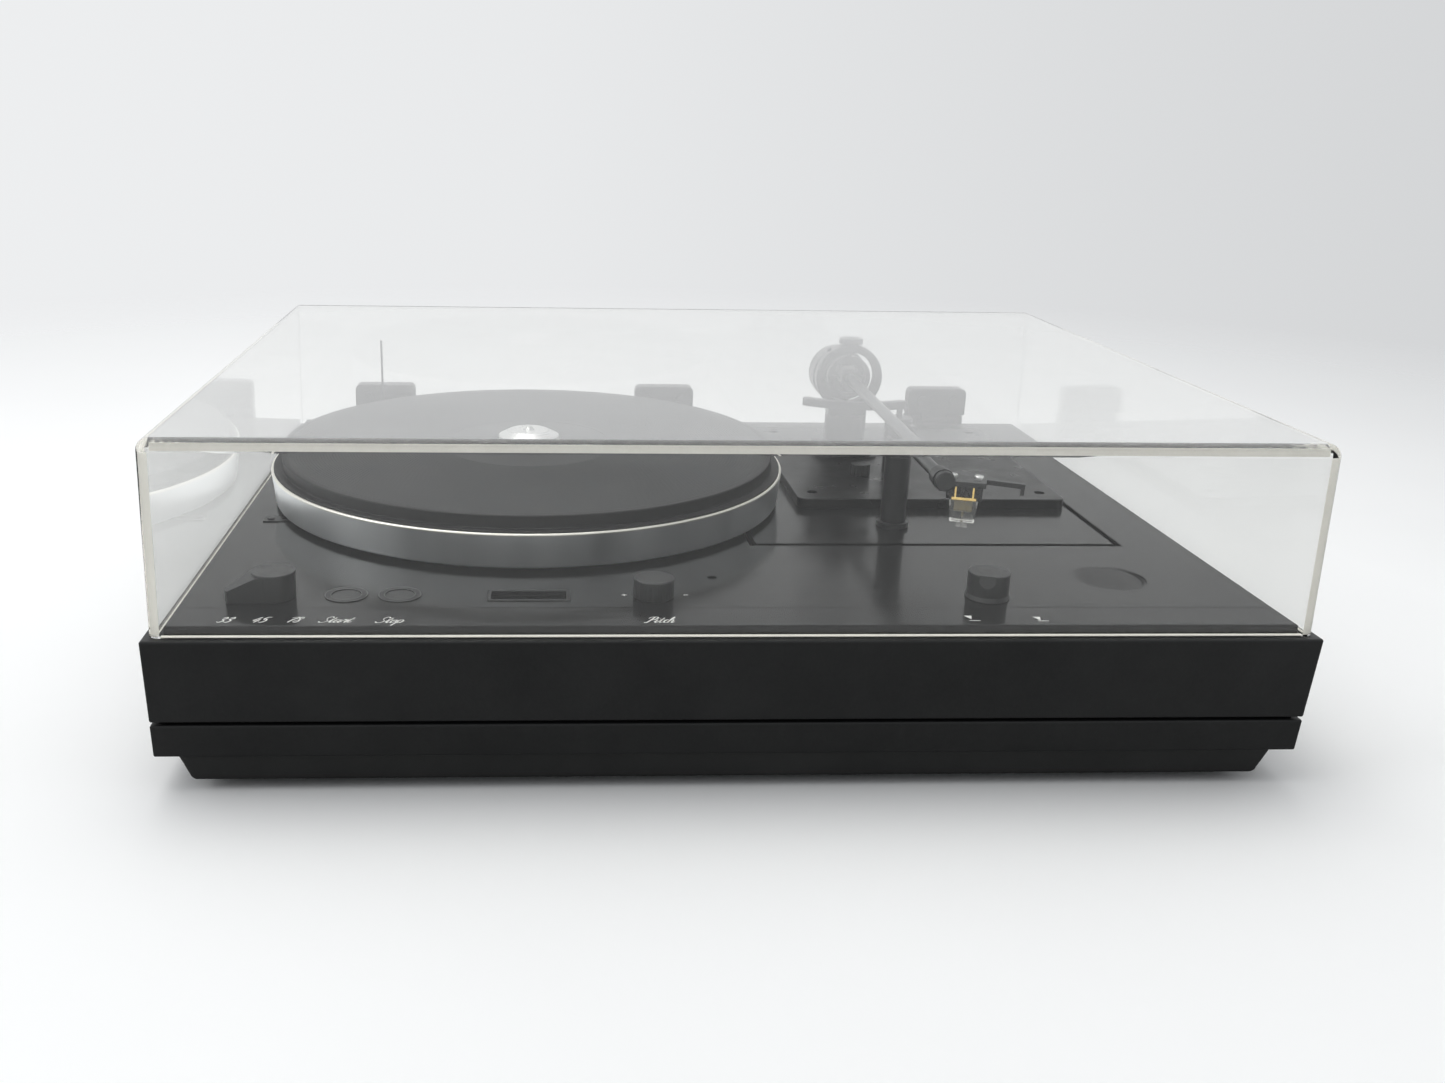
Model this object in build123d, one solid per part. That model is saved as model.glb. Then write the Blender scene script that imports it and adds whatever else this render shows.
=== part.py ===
from build123d import *
import math
import os

os.makedirs("parts", exist_ok=True)

# Belt-driven record player with a suspended subchassis.
# Millimetres, +Z up, +X to the right, -Y is the front.
# Everything is drawn about the middle of the plinth; YS then moves it so that
# the origin is the middle of the whole object's footprint, hinges included.

# ---------------------------------------------------------------- dimensions
W, D = 571.0, 434.0            # plinth, across and front to back
HX, HY = W / 2, D / 2
Z_FOOT = 5.0                   # foot height
Z_BASE = 20.0                  # top of the base tray
Z_LOW = 37.5                   # top of the lower block
Z_JOINT = 39.2                 # top of the shadow joint
Z_RIM = 83.0                   # top of the plinth frame
Z_DECK = 88.0                  # top of the deck plate
LEAN = 0.10                    # front face leans in by this much per mm down
REAR = 227.0                   # rearmost point, the hinge knuckles
YS = -(REAR - HY) / 2          # shift from plinth middle to footprint middle

FRAME_IN_X = 262.0             # inside of the plinth frames
FRAME_IN_F, FRAME_IN_B = -190.0, 185.0

DECK_X = 275.2
DECK_F, DECK_B = -207.9, 206.9
SEAM_Y = -183.4                # joint between front strip and deck

COV_X_BOT, COV_X_TOP = 282.5, 281.0
COV_F_BOT, COV_F_TOP = -213.7, -212.6
COV_B = 213.0
COV_Z0, COV_Z1 = 83.4, 179.0
COV_T = 4.8
COV_OPEN_PIVOT = (222.0, 88.0)

PX, PY = -104.2, 25.5          # platter centre
PR, PR_BOT = 160.3, 158.1      # rim radius at the top and at the bottom
P_Z0, P_Z1 = 90.5, 110.3       # rim bottom and top
TABLE_R, TABLE_Z = 151.1, 114.9        # raised table that carries the mat
LEDGE_Z = 109.6                # step between table and rim
MAT_R, MAT_Z1 = 153.3, 118.4
LABEL_R, LABEL_Z = 50.0, 117.9         # sunk middle under a record's label
SUB_R, SUB_Z0, SUB_Z1 = 78.0, 97.5, 106.0
BELT_Z0, BELT_Z1 = 99.5, 103.5
SPINDLE_R, SPINDLE_TOP = 3.55, 126.5
SHAFT_R = 5.0
ADAPT_R = 19.05                # fills the large hole of a single
MX, MY = -182.2, 103.5         # motor axis
PUL_R = 6.0

AX, AY, AZ = 119.3, 112.0, 142.8     # arm pivot
TUBE_DIR = -1.6                # parked direction of the tube, degrees outward
HEAD_DIR = -18.6               # direction of the headshell
TUBE_LEN = 254.0               # pivot to the front end of the tube
TUBE_R = 3.5
HEAD_X, HEAD_Y = 125.4, -137.1 # stylus, parked

SPEED_X, SPEED_Y = -230.5, -168.0
START_X, STOP_X, BTN_Y = -195.2, -168.4, -165.8
PITCH_X, PITCH_Y = -40.0, -168.0
CUE_X, CUE_Y = 132.1, -168.6
STROBE = (-124.3, -82.1, -174.8, -159.2)
RECESS_X, RECESS_Y, RECESS_R = 209.0, -139.5, 17.5


# ------------------------------------------------------------------- helpers
def box(x0, x1, y0, y1, z0, z1):
    return Pos((x0 + x1) / 2, (y0 + y1) / 2, (z0 + z1) / 2) * Box(x1 - x0, y1 - y0, z1 - z0)


def cyl(x, y, z0, z1, r):
    return Pos(x, y, (z0 + z1) / 2) * Cylinder(r, z1 - z0)


def ring(x, y, z0, z1, ro, ri):
    return cyl(x, y, z0, z1, ro) - cyl(x, y, z0 - 1, z1 + 1, ri)


def cone(x, y, z0, z1, r0, r1):
    return Pos(x, y, (z0 + z1) / 2) * Cone(r0, r1, z1 - z0)


def xcyl(x0, x1, y, z, r):
    return Pos((x0 + x1) / 2, y, z) * Rot(0, 90, 0) * Cylinder(r, x1 - x0)


def ycyl(x, y0, y1, z, r):
    return Pos(x, (y0 + y1) / 2, z) * Rot(90, 0, 0) * Cylinder(r, y1 - y0)


def rbox(x0, x1, y0, y1, z0, z1, r):
    """Plate with rounded vertical corners."""
    s = Pos((x0 + x1) / 2, (y0 + y1) / 2, z0) * RectangleRounded(x1 - x0, y1 - y0, r)
    return extrude(s, z1 - z0)


def side_prism(pts, x0, x1):
    """Closed profile in Y and Z drawn out along X."""
    w = Wire.make_polygon([Vector(x0, y, z) for y, z in pts], close=True)
    return Solid.extrude(Face(w), Vector(x1 - x0, 0, 0))


def loft_rects(r0, z0, r1, z1):
    """Frustum between two rectangles (x0, x1, y0, y1)."""
    def sk(r, z):
        return Pos((r[0] + r[1]) / 2, (r[2] + r[3]) / 2, z) * Rectangle(r[1] - r[0], r[3] - r[2])
    return loft([sk(r0, z0), sk(r1, z1)])


def soft(shape, edges, *sizes):
    """Fillet, stepping down in size where a corner won't take it."""
    for s in sizes:
        try:
            out = fillet(edges, s)
            if out.is_valid:
                return out
        except Exception:
            pass
    return shape


def slab(pts, z0, z1):
    """Closed plan outline drawn up from z0 to z1."""
    w = Wire.make_polygon([Vector(x, y, z0) for x, y in pts], close=True)
    return Solid.extrude(Face(w), Vector(0, 0, z1 - z0))


NAMES = []


def emit(name, *shapes):
    solids = []
    for s in shapes:
        solids += [t.moved(Location((0, YS, 0))) for t in s.solids()]
    out = solids[0] if len(solids) == 1 else Compound(solids)
    out.label = name
    export_step(out, "parts/%s.step" % name)
    NAMES.append((name, len(solids), sum(s.volume for s in solids)))


def front_y(z):
    return -HY + LEAN * (Z_RIM - z)


# ----------------------------------------------------------- plinth and base
def block(z0, z1):
    return side_prism([(front_y(z0), z0), (HY, z0), (HY, z1), (front_y(z1), z1)], -HX, HX)


def well(z0, z1):
    return box(-FRAME_IN_X, FRAME_IN_X, FRAME_IN_F, FRAME_IN_B, z0 - 1, z1 + 1)


REAR_OPEN = (66.0, 214.0, 45.0, 77.0)          # connector opening in the back rail

upper = block(Z_JOINT, Z_RIM)
upper = soft(upper, [e for e in upper.edges() if abs(e.center().Z - Z_RIM) < 0.01
                     or abs(e.center().Z - Z_JOINT) < 0.01 or abs(abs(e.center().X) - HX) < 0.01], 1.2, 0.8, 0.5)
upper -= well(Z_JOINT, Z_RIM)
upper -= box(REAR_OPEN[0], REAR_OPEN[1], 180, 220, REAR_OPEN[2], REAR_OPEN[3])
emit("plinth_upper", upper)

joint = box(-HX + 4, HX - 4, front_y(Z_JOINT) + 4, HY - 4, Z_LOW, Z_JOINT) - well(Z_LOW, Z_JOINT)
emit("plinth_joint_strip", joint)

lower = block(Z_BASE, Z_LOW)
lower = soft(lower, list(lower.edges()), 1.0, 0.6)
lower -= well(Z_BASE, Z_LOW)
emit("plinth_lower", lower)

tray = loft_rects((-269.0, 269.0, -207.6, 205.0), Z_FOOT, (-275.0, 275.0, -209.4, 209.0), Z_BASE)
tray = soft(tray, [e for e in tray.edges() if e.center().Z < Z_BASE - 0.5], 4.0, 2.5, 1.5)
tray -= box(-FRAME_IN_X, FRAME_IN_X, FRAME_IN_F - 8, FRAME_IN_B + 8, Z_FOOT + 3, Z_BASE + 1)
FEET = [(sx * 232.0, sy * 168.0) for sx in (-1, 1) for sy in (-1, 1)]
for x, y in FEET:
    tray -= cyl(x, y, 0, 20, 2.6)
for i in range(6):                              # cooling slots in the floor
    tray -= rbox(120 + i * 16, 126 + i * 16, 40, 110, 0, 20, 2.9)
for x, y in ((-242, -182), (-6, -182), (-242, -154), (-6, -154)):   # bosses for the control board
    tray += box(x - 4, x + 4, y - 4, y + 4, Z_FOOT + 2, 64.2)
emit("base_tray", tray)

feet = []
for x, y in FEET:
    f = cyl(x, y, 0, Z_FOOT, 22.0)
    f = soft(f, [e for e in f.edges() if e.center().Z < 1], 1.2, 0.8)
    feet.append(f - cyl(x, y, -1, 3.0, 6.0) - cyl(x, y, 0, 6, 2.6))
emit("feet", *feet)
foot_screws = [cyl(x, y, 0.9, 3.0, 4.6) + cyl(x, y, 2.5, 8.0, 2.5) + cyl(x, y, 8.0, 11.5, 4.5) for x, y in FEET]

# ------------------------------------------------------------------ the deck
PIN_X, PIN_Y = -212.5, 172.0
BOARD_HOLE = (22.0, 239.0, -85.7, 169.0)

deck = box(-DECK_X, DECK_X, SEAM_Y, DECK_B, Z_RIM, Z_DECK)
deck = soft(deck, [e for e in deck.edges() if abs(e.center().Z - Z_DECK) < 0.01 and e.center().Y > SEAM_Y + 1], 0.8, 0.5)
deck -= box(BOARD_HOLE[0], BOARD_HOLE[1], BOARD_HOLE[2], BOARD_HOLE[3], Z_RIM - 1, Z_DECK + 1)
deck -= cyl(PX, PY, 80, 90, 24.0)
deck -= cyl(MX, MY, 80, 90, 15.0)
for x in (START_X, STOP_X):
    deck -= cyl(x, BTN_Y, 80, 90, 10.9)
deck -= cyl(SPEED_X, SPEED_Y, 80, 90, 3.3)
deck -= cyl(PITCH_X, PITCH_Y, 80, 90, 3.3)
deck -= cyl(CUE_X, CUE_Y, 80, 90, 3.3)
deck -= box(STROBE[0], STROBE[1], STROBE[2], STROBE[3], 80, 90)
deck -= cyl(-6.4, -139.4, 84.5, 90, 2.6)
deck -= cyl(PIN_X, PIN_Y, 80, 90, 2.0)
# scooped finger recess: deep at the front edge, running out at the back
scoop = Pos(RECESS_X, RECESS_Y + RECESS_R, Z_DECK) * Rot(4.4, 0, 0) * Pos(0, -RECESS_R, 5.0) * Cylinder(RECESS_R, 10.0)
step = Pos(RECESS_X, RECESS_Y + RECESS_R, Z_DECK) * Rot(2.2, 0, 0) * Pos(0, -RECESS_R, 5.0) * Cylinder(RECESS_R + 1.4, 10.0)
deck -= scoop
deck -= step
emit("deck_plate", deck)

strip = box(-DECK_X, DECK_X, DECK_F, SEAM_Y - 0.5, Z_RIM, Z_DECK)
strip = soft(strip, [e for e in strip.edges() if abs(e.center().Z - Z_DECK) < 0.01 and e.center().Y < SEAM_Y - 1], 0.8, 0.5)
emit("front_strip", strip)

button_bezels = [ring(x, BTN_Y, 81.0, 88.5, 10.8, 7.45) for x in (START_X, STOP_X)]

sx0, sx1, sy0, sy1 = STROBE
bezel = rbox(sx0 + 0.1, sx1 - 0.1, sy0 + 0.1, sy1 - 0.1, 80.5, 88.4, 1.2) - rbox(sx0 + 2.0, sx1 - 2.0, sy0 + 2.0, sy1 - 2.0, 79, 90, 0.8)
emit("control_bezels", bezel, *button_bezels)
emit("strobe_window", rbox(sx0 + 2.0, sx1 - 2.0, sy0 + 2.0, sy1 - 2.0, 84.6, 86.2, 0.8),
     Pos((sx0 + sx1) / 2, (sy0 + sy1) / 2, 76.2) * Rot(40, 0, 0) * Box(37, 9.0, 1.2))
strobe_lamp = [xcyl(-114, -94, -176.5, 73.0, 2.2), box(-116, -114, -179, -174, 65.8, 75.6), box(-94, -92, -179, -174, 65.8, 75.6)]

buffers = [box(x - 9, x + 9, y - 1.4, y + 1.4, Z_RIM, COV_Z0) for x, y in
                        ((-240, -211.2), (240, -211.2), (-150, 210.6), (150, 210.6))]

emit("accessory_pin", cyl(PIN_X, PIN_Y, 83.2, 155.0, 0.8) + cyl(PIN_X, PIN_Y, 83.2, 88.0, 1.9)
     + cone(PIN_X, PIN_Y, 88.0, 90.2, 3.6, 2.0))

# earthing tab beside the platter: foot on the deck, spring fingers under the rim
TAB_X, TAB_Y = -256.5, -38.0
tab = box(TAB_X - 4.0, TAB_X + 6.0, TAB_Y - 5.0, TAB_Y + 5.0, Z_DECK, Z_DECK + 0.6)
tab += box(TAB_X + 5.2, TAB_X + 17.0, TAB_Y - 4.4, TAB_Y - 1.2, Z_DECK, Z_DECK + 0.6)
tab += box(TAB_X + 5.2, TAB_X + 17.0, TAB_Y + 1.2, TAB_Y + 4.4, Z_DECK, Z_DECK + 0.6)
tab += cyl(TAB_X, TAB_Y, Z_DECK, Z_DECK + 1.2, 2.2)
emit("earthing_tab", tab)

# ------------------------------------------------------- motor, pulley, belt
mount = ring(MX, MY, 79.6, 81.0, 38.0, 9.0)
for k in range(3):
    a = math.radians(30 + 120 * k)
    mount -= cyl(MX + 32 * math.cos(a), MY + 32 * math.sin(a), 78, 83, 4.0)
MGR = [(MX + 32 * math.cos(math.radians(30 + 120 * k)), MY + 32 * math.sin(math.radians(30 + 120 * k))) for k in range(3)]
emit("rubber_mounts", *buffers, *[ring(x, y, 79.6, 83.0, 4.0, 1.6) + ring(x, y, 81.0, 83.0, 5.5, 1.6) + ring(x, y, 77.8, 79.6, 5.5, 1.6) for x, y in MGR])
motor_screws = [cyl(x, y, 76.2, 77.8, 3.4) + cyl(x, y, 77.0, 83.0, 1.6) for x, y in MGR]
motor = cyl(MX, MY, 44.0, 79.6, 26.0)
motor = soft(motor, list(motor.edges()), 2.0, 1.0)
motor += ring(MX, MY, 79.6, 82.0, 6.5, 1.6)
motor -= cyl(MX, MY, 60.0, 90.0, 1.6)
emit("motor", motor, mount)
mshaft = cyl(MX, MY, 60.3, 98.0, 1.55)
pulley = cyl(MX, MY, 94.0, 105.5, PUL_R + 1.6) - ring(MX, MY, BELT_Z0 - 0.3, BELT_Z1 + 0.3, 20.0, PUL_R)
pulley -= cyl(MX, MY, 90, 98.0, 1.57)
emit("motor_pulley", pulley, mshaft)

# flat belt: outside tangents between inner platter and pulley
BC, BT = 0.12, 0.7


def belt_area(grow):
    r1, r2 = SUB_R + grow, PUL_R + grow
    dx, dy = MX - PX, MY - PY
    d = math.hypot(dx, dy)
    base = math.atan2(dy, dx)
    phi = math.acos((r1 - r2) / d)
    p = []
    for s in (1, -1):
        a = base + s * phi
        p.append(((PX + r1 * math.cos(a), PY + r1 * math.sin(a)), (MX + r2 * math.cos(a), MY + r2 * math.sin(a))))
    (a1, b1), (a2, b2) = p
    quad = Face(Wire.make_polygon([Vector(*a1, BELT_Z0), Vector(*b1, BELT_Z0), Vector(*b2, BELT_Z0), Vector(*a2, BELT_Z0)], close=True))
    body = Solid.extrude(quad, Vector(0, 0, BELT_Z1 - BELT_Z0))
    body += cyl(PX, PY, BELT_Z0, BELT_Z1, r1)
    body += cyl(MX, MY, BELT_Z0, BELT_Z1, r2)
    return body


belt = belt_area(BC + BT) - Pos(0, 0, 0) * belt_area(BC)
emit("drive_belt", belt)

# --------------------------------------------------------------- the platter
platter = cone(PX, PY, P_Z0, P_Z1, PR_BOT, PR)
platter = soft(platter, list(platter.edges().filter_by(GeomType.CIRCLE)), 0.9, 0.6)
platter -= cyl(PX, PY, LEDGE_Z, P_Z1 + 1, PR - 1.5)
platter += cyl(PX, PY, 106.5, TABLE_Z, TABLE_R)
platter -= ring(PX, PY, P_Z0 - 1, 110.4, 149.0, 80.0)      # hollow underside, clear of the motor pulley
platter -= cyl(PX, PY, P_Z0 - 1, 106.0, 81.0)              # middle rests on the inner platter
platter -= cyl(PX, PY, 100, TABLE_Z + 1, 18.0)
emit("platter", platter)

# mat: a rubber cap over the raised table, with a flange on the step
mat = cyl(PX, PY, LEDGE_Z, MAT_Z1, MAT_R)
mat = soft(mat, [e for e in mat.edges() if abs(e.center().Z - MAT_Z1) < 0.01], 0.7, 0.5)
mat += cyl(PX, PY, LEDGE_Z, LEDGE_Z + 1.6, PR - 1.6)
mat -= cyl(PX, PY, LEDGE_Z - 1, TABLE_Z, TABLE_R + 0.1)
mat -= cyl(PX, PY, LABEL_Z, 125, LABEL_R)
mat -= cyl(PX, PY, 105, 125, 4.2)
emit("platter_mat", mat)

sub = cyl(PX, PY, SUB_Z0, SUB_Z1, SUB_R)
sub -= ring(PX, PY, 90, 98.8, 70.0, 16.0)
sub += cyl(PX, PY, 95.6, SUB_Z0 + 0.5, 14.0)
sub -= cyl(PX, PY, 90, 110, SHAFT_R)
emit("inner_platter", sub)

shaft = cyl(PX, PY, 43.0, SUB_Z1, SHAFT_R) + cyl(PX, PY, SUB_Z1, SPINDLE_TOP - 2.0, SPINDLE_R)
shaft += cone(PX, PY, SPINDLE_TOP - 2.0, SPINDLE_TOP, SPINDLE_R, 1.6)
emit("spindle", shaft)

ad = cyl(PX, PY, LABEL_Z, 121.1, ADAPT_R) + cone(PX, PY, 121.1, 124.4, ADAPT_R, 12.5)
ad -= cyl(PX, PY, 110, 130, SPINDLE_R + 0.06)
ad -= ring(PX, PY, 117, 119.3, 16.5, 7.0)
emit("single_adapter", ad)

# ------------------------------------------------------------ the subchassis
SPRINGS = [(-222.0, -40.0), (8.0, 150.0), (214.0, -40.0)]
sub_pts = [(-238, -72), (-150, -72), (-90, -50), (20, -78), (232, -78), (232, 160), (-20, 166), (-70, 120), (-112, 96), (-140, 62), (-238, -8)]
plate = slab(sub_pts, 64.0, 68.0)
plate -= cyl(PX, PY, 60, 70, 11.0)
plate -= cyl(AX, AY, 60, 70, 9.0)
for x, y in SPRINGS:
    plate -= cyl(x, y, 60, 70, 3.4)
PIL = [(40, -68), (222, -68), (222, 150), (40, 150)]
for x, y in PIL:
    plate += cyl(x, y, 67.0, Z_RIM, 5.0)
emit("subchassis", plate)

house = cyl(PX, PY, 40.0, 92.0, 11.0) + cyl(PX, PY, 68.0, 72.0, 20.0)
house -= cyl(PX, PY, 42.0, 95.0, SHAFT_R + 0.05)
emit("bearing_housing", house, cyl(PX, PY, 42.0, 42.9, 4.8))

board = box(26.0, 235.0, -81.6, 165.0, Z_RIM, Z_DECK)
board -= cyl(AX, AY, 80, 90, 9.0)
emit("armboard", board)

top = box(64.0, 234.0, -11.0, 162.0, Z_DECK, 94.0)
top = soft(top, list(top.edges().filter_by(Axis.Z)), 6.0)
top = soft(top, [e for e in top.edges() if abs(e.center().Z - 94.0) < 0.01 or abs(e.center().Z - 91) < 0.1], 0.7, 0.4)
top -= cyl(AX, AY, 80, 95, 9.0)
BSCR = [(75.5, 5.0), (222.5, 5.0), (75.5, 150.0), (222.5, 150.0)]
for x, y in BSCR:
    top -= cyl(x, y, 90.4, 95, 3.4) + cyl(x, y, 80, 92, 1.7)
top += cyl(115.5, 45.0, 93.5, 97.0, 2.4)            # stud under the small dial
emit("arm_board_top", top)
board_screws = [cyl(x, y, 90.4, 92.3, 3.2) - box(x - 3.4, x + 3.4, y - 0.4, y + 0.4, 91.4, 94) + cyl(x, y, 88.0, 91.0, 1.6) for x, y in BSCR]

# suspension: posts on the base tray, coils between post cup and subchassis
emit("suspension_posts", *[cyl(x, y, Z_FOOT + 3, 24.0, 9.0) + cyl(x, y, 24.0, 70.0, 2.5) + cyl(x, y, 70.0, 73.0, 6.5) for x, y in SPRINGS])


def coil(x, y, z0, z1, turns, rc, rw):
    h = z1 - z0 - 2 * rw
    path = Helix(h / turns, h, rc)
    start = Plane(origin=path @ 0, z_dir=path % 0)
    c = sweep(start * Circle(rw), path=path)
    return c.moved(Location((x, y, z0 + rw)))


emit("suspension_springs", *[coil(x, y, 24.0, 64.0, 7, 10.0, 1.0) for x, y in SPRINGS])

# --------------------------------------------------------- arm base and rest
col = cyl(AX, AY, 94.0, 99.0, 23.0)
col = soft(col, [e for e in col.edges() if e.center().Z > 98], 1.5, 1.0)
col += cyl(AX, AY, 98.5, AZ - 26.0, 14.3)
col += cyl(AX, AY, 75.0, 94.5, 8.6)
CS = [(AX + 18.8 * math.cos(math.radians(a)), AY + 18.8 * math.sin(math.radians(a))) for a in (210, 330, 90)]
for x, y in CS:
    col -= cyl(x, y, 90, 100, 1.6) + cyl(x, y, 97.0, 100, 3.0)
emit("arm_column", col)
base_screws = [cyl(x, y, 97.0, 98.8, 2.8) - box(x - 3, x + 3, y - 0.4, y + 0.4, 98.0, 99.5) + cyl(x, y, 94.0, 97.5, 1.5) for x, y in CS]
emit("arm_fasteners", *board_screws, *base_screws, ring(AX, AY, 78.0, 82.9, 13.0, 8.65))

TF = Location((AX, AY, AZ), (0, 0, TUBE_DIR))      # tube frame, -Y runs to the headshell


def tf(shape):
    return shape.moved(TF)


CW_DEPTH = 16.7                # ring-shaped recess in the back of the counterweight
R_OUT, R_IN, R_AX = 23.0, 17.6, 4.6
oring = ycyl(0, -R_AX, R_AX, 0, R_OUT)
oring = soft(oring, list(oring.edges().filter_by(GeomType.CIRCLE)), 1.2, 0.8)
oring -= ycyl(0, -9, 9, 0, R_IN)
saddle = box(-13.4, 13.4, -R_AX - 2.4, R_AX + 2.4, -26.0, -20.6)
saddle = soft(saddle, list(saddle.edges().filter_by(Axis.Z)), 2.0, 1.0)
oring += saddle - ycyl(0, -9, 9, 0, R_IN + 1.0)
oring -= Pos(0, 0, 21.5) * Cylinder(1.56, 8)
oring -= Pos(0, 0, -21.5) * Cylinder(1.56, 8)

cap = Pos(0, 0, 25.2) * Cylinder(8.2, 3.6)
cap = soft(cap, [e for e in cap.edges() if e.center().Z > 26], 0.8, 0.5)
cap -= ycyl(0, -9, 9, 0, R_OUT + 0.01)
# small set screw in the rim of the ring, up to the left
setscrew = (Rot(0, -38, 0) * Pos(0, 0, 23.6) * Cylinder(1.7, 3.0)) - ycyl(0, -9, 9, 0, R_IN)
oring += setscrew
emit("bearing_ring", tf(oring), tf(cap))

# inner gimbal ring on its two vertical stubs
G_OUT, G_IN, G_AX = 14.8, 11.2, 3.4
gring = ycyl(0, -G_AX, G_AX, 0, G_OUT) - ycyl(0, -9, 9, 0, G_IN)
gring += Pos(0, 0, 17.4) * Cylinder(1.5, 6.6)
gring += Pos(0, 0, -17.4) * Cylinder(1.5, 6.6)
gring += xcyl(-14.2, -4.0, 0, 0, 1.0) + xcyl(4.0, 14.2, 0, 0, 1.0)
emit("gimbal_ring", tf(gring))

blk = box(-6.1, 6.1, -10.0, 9.0, -6.0, 6.5)
blk = soft(blk, list(blk.edges().filter_by(Axis.Y)), 2.5, 1.5)
blk -= ycyl(0, -12, 12, 0, TUBE_R)
blk -= xcyl(3.8, 7.0, 0, 0, 1.06) + xcyl(-7.0, -3.8, 0, 0, 1.06)

tube = ycyl(0, -TUBE_LEN, 9.0, 0, TUBE_R) - ycyl(0, -TUBE_LEN - 4, 10.0, 0, TUBE_R - 0.9)
tube -= ycyl(0, -9.9, 20, 0, TUBE_R - 0.89)
emit("arm_tube", tf(tube))
stub = ycyl(0, 9.0, 56.0, 0, 3.0) + ycyl(0, 9.0, 12.0, 0, 5.0) + ycyl(0, 1.0, 9.0, 0, TUBE_R - 0.9)
emit("arm_block", tf(blk), tf(stub))
cw = ycyl(0, 29.0, 49.0, -5.0, 19.5)
cw = soft(cw, list(cw.edges().filter_by(GeomType.CIRCLE)), 1.5, 1.0)
cw -= ycyl(0, 20, 60, 0, 3.06)
cw -= ycyl(0, 49.0 - CW_DEPTH, 52, -5.0, 16.5) - ycyl(0, 30, 60, -5.0, 9.5)
emit("counterweight", tf(cw))

# headshell group: frame at the stylus, -Y forward
hx, hy = HEAD_X, HEAD_Y
HF = Location((hx, hy, 0), (0, 0, HEAD_DIR))


def hf(shape):
    return shape.moved(HF)


SH0, SH1 = 140.5, 143.2        # headshell plate
SCR_X, SCR_Y = 6.55, -2.0      # cartridge screws
CART_Z = 133.5                 # underside of the cartridge
collar = ycyl(0, -TUBE_LEN - 4.0, -TUBE_LEN + 11.0, 0, 5.2)
collar = soft(collar, list(collar.edges().filter_by(GeomType.CIRCLE)), 0.5, 0.3)
collar += ycyl(0, -TUBE_LEN + 0.5, -TUBE_LEN + 4.0, 0, 5.7)
shell = box(-10.6, 10.6, -11.0, 11.0, SH0, SH1)
shell = soft(shell, list(shell.edges().filter_by(Axis.Z)), 1.2, 0.8)
shell = soft(shell, [e for e in shell.edges() if abs(e.center().Z - SH1) < 0.01], 0.5, 0.3)
cheek = box(-13.2, -9.6, -6.0, 6.0, 136.0, 147.5)          # upright side plate that joins it to the collar
cheek = soft(cheek, [e for e in cheek.edges().filter_by(Axis.X) if e.center().Z > 147], 2.0, 1.5)
shell = hf(shell) + hf(cheek) + tf(collar)
shell -= tf(ycyl(0, -TUBE_LEN, -TUBE_LEN + 40, 0, TUBE_R))
for s in (-1, 1):
    shell -= hf(cyl(s * SCR_X, SCR_Y, 139, 149, 1.35))
    shell -= hf(cyl(s * SCR_X, SCR_Y, SH1, SH1 + 6, 2.7))
emit("headshell", *shell.solids())
hs = []
for s in (-1, 1):
    sc = cyl(s * SCR_X, SCR_Y, SH1, SH1 + 1.9, 2.4)
    sc = soft(sc, [e for e in sc.edges() if e.center().Z > SH1 + 1.8], 0.6, 0.4)
    sc -= box(s * SCR_X - 2.8, s * SCR_X + 2.8, SCR_Y - 0.35, SCR_Y + 0.35, SH1 + 1.1, SH1 + 3)
    hs.append(hf(sc + cyl(s * SCR_X, SCR_Y, CART_Z + 0.4, SH1 + 0.5, 1.25)))
emit("headshell_screws", *hs)
fl = side_prism([(-1.8, -0.7), (1.8, -0.7), (1.8, 1.8), (-1.8, 1.8)], 10.6, 30.0).moved(Location((0, 1.0, SH0 + 0.9), (0, 2.5, 0)))
hook = side_prism([(-1.8, -4.2), (1.8, -4.2), (1.8, 1.8), (-1.8, 1.8)], 28.0, 30.0).moved(Location((0, 1.0, SH0 + 0.9), (0, 2.5, 0)))
emit("finger_lift", hf(fl + hook) - shell)
cart = box(-9.2, 9.2, -10.0, 8.0, CART_Z, SH0)
cart = soft(cart, list(cart.edges().filter_by(Axis.Z)), 1.0, 0.6)
for s in (-1, 1):
    cart -= cyl(s * SCR_X, SCR_Y, 132, 144, 1.3)
cart = hf(cart) - tf(ycyl(0, -TUBE_LEN - 8.0, -TUBE_LEN + 30.0, 0, 6.0)) - hf(cheek)
emit("cartridge_body", cart)
pl = box(-6.2, 6.2, -11.0, -10.0, CART_Z, CART_Z + 1.4)
pl += box(-4.95, -4.05, -11.0, -10.0, CART_Z, SH0) + box(4.05, 4.95, -11.0, -10.0, CART_Z, SH0)
pl = hf(pl) - tf(ycyl(0, -TUBE_LEN - 8.0, -TUBE_LEN + 30.0, 0, 6.0))
emit("cartridge_plate", *pl.solids())
sty = box(-4.6, 4.6, -8.6, 4.0, 126.5, CART_Z)
sty = soft(sty, [e for e in sty.edges() if e.center().Z < 127.0], 1.4, 1.0)
sty += box(-0.6, 0.6, -0.6, 0.6, 122.4, 127.0)
sty += cone(0, 0, 121.5, 122.6, 0.15, 0.6)
emit("stylus_assembly", hf(sty))
# clear guard: open box that narrows downwards, with a small pull tab
gd = loft_rects((-6.1, 6.1, -10.4, 1.5), 121.5, (-7.3, 7.3, -10.8, 1.5), CART_Z - 0.2)
gd -= loft_rects((-5.3, 5.3, -9.6, 3.0), 120.5, (-6.5, 6.5, -10.0, 3.0), CART_Z)
gd += box(-2.85, 2.85, -10.4, -9.6, 118.95, 122.0)
gd += box(-6.0, 6.0, -10.3, -7.6, 121.5, 122.3)
emit("stylus_guard", hf(gd))

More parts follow.
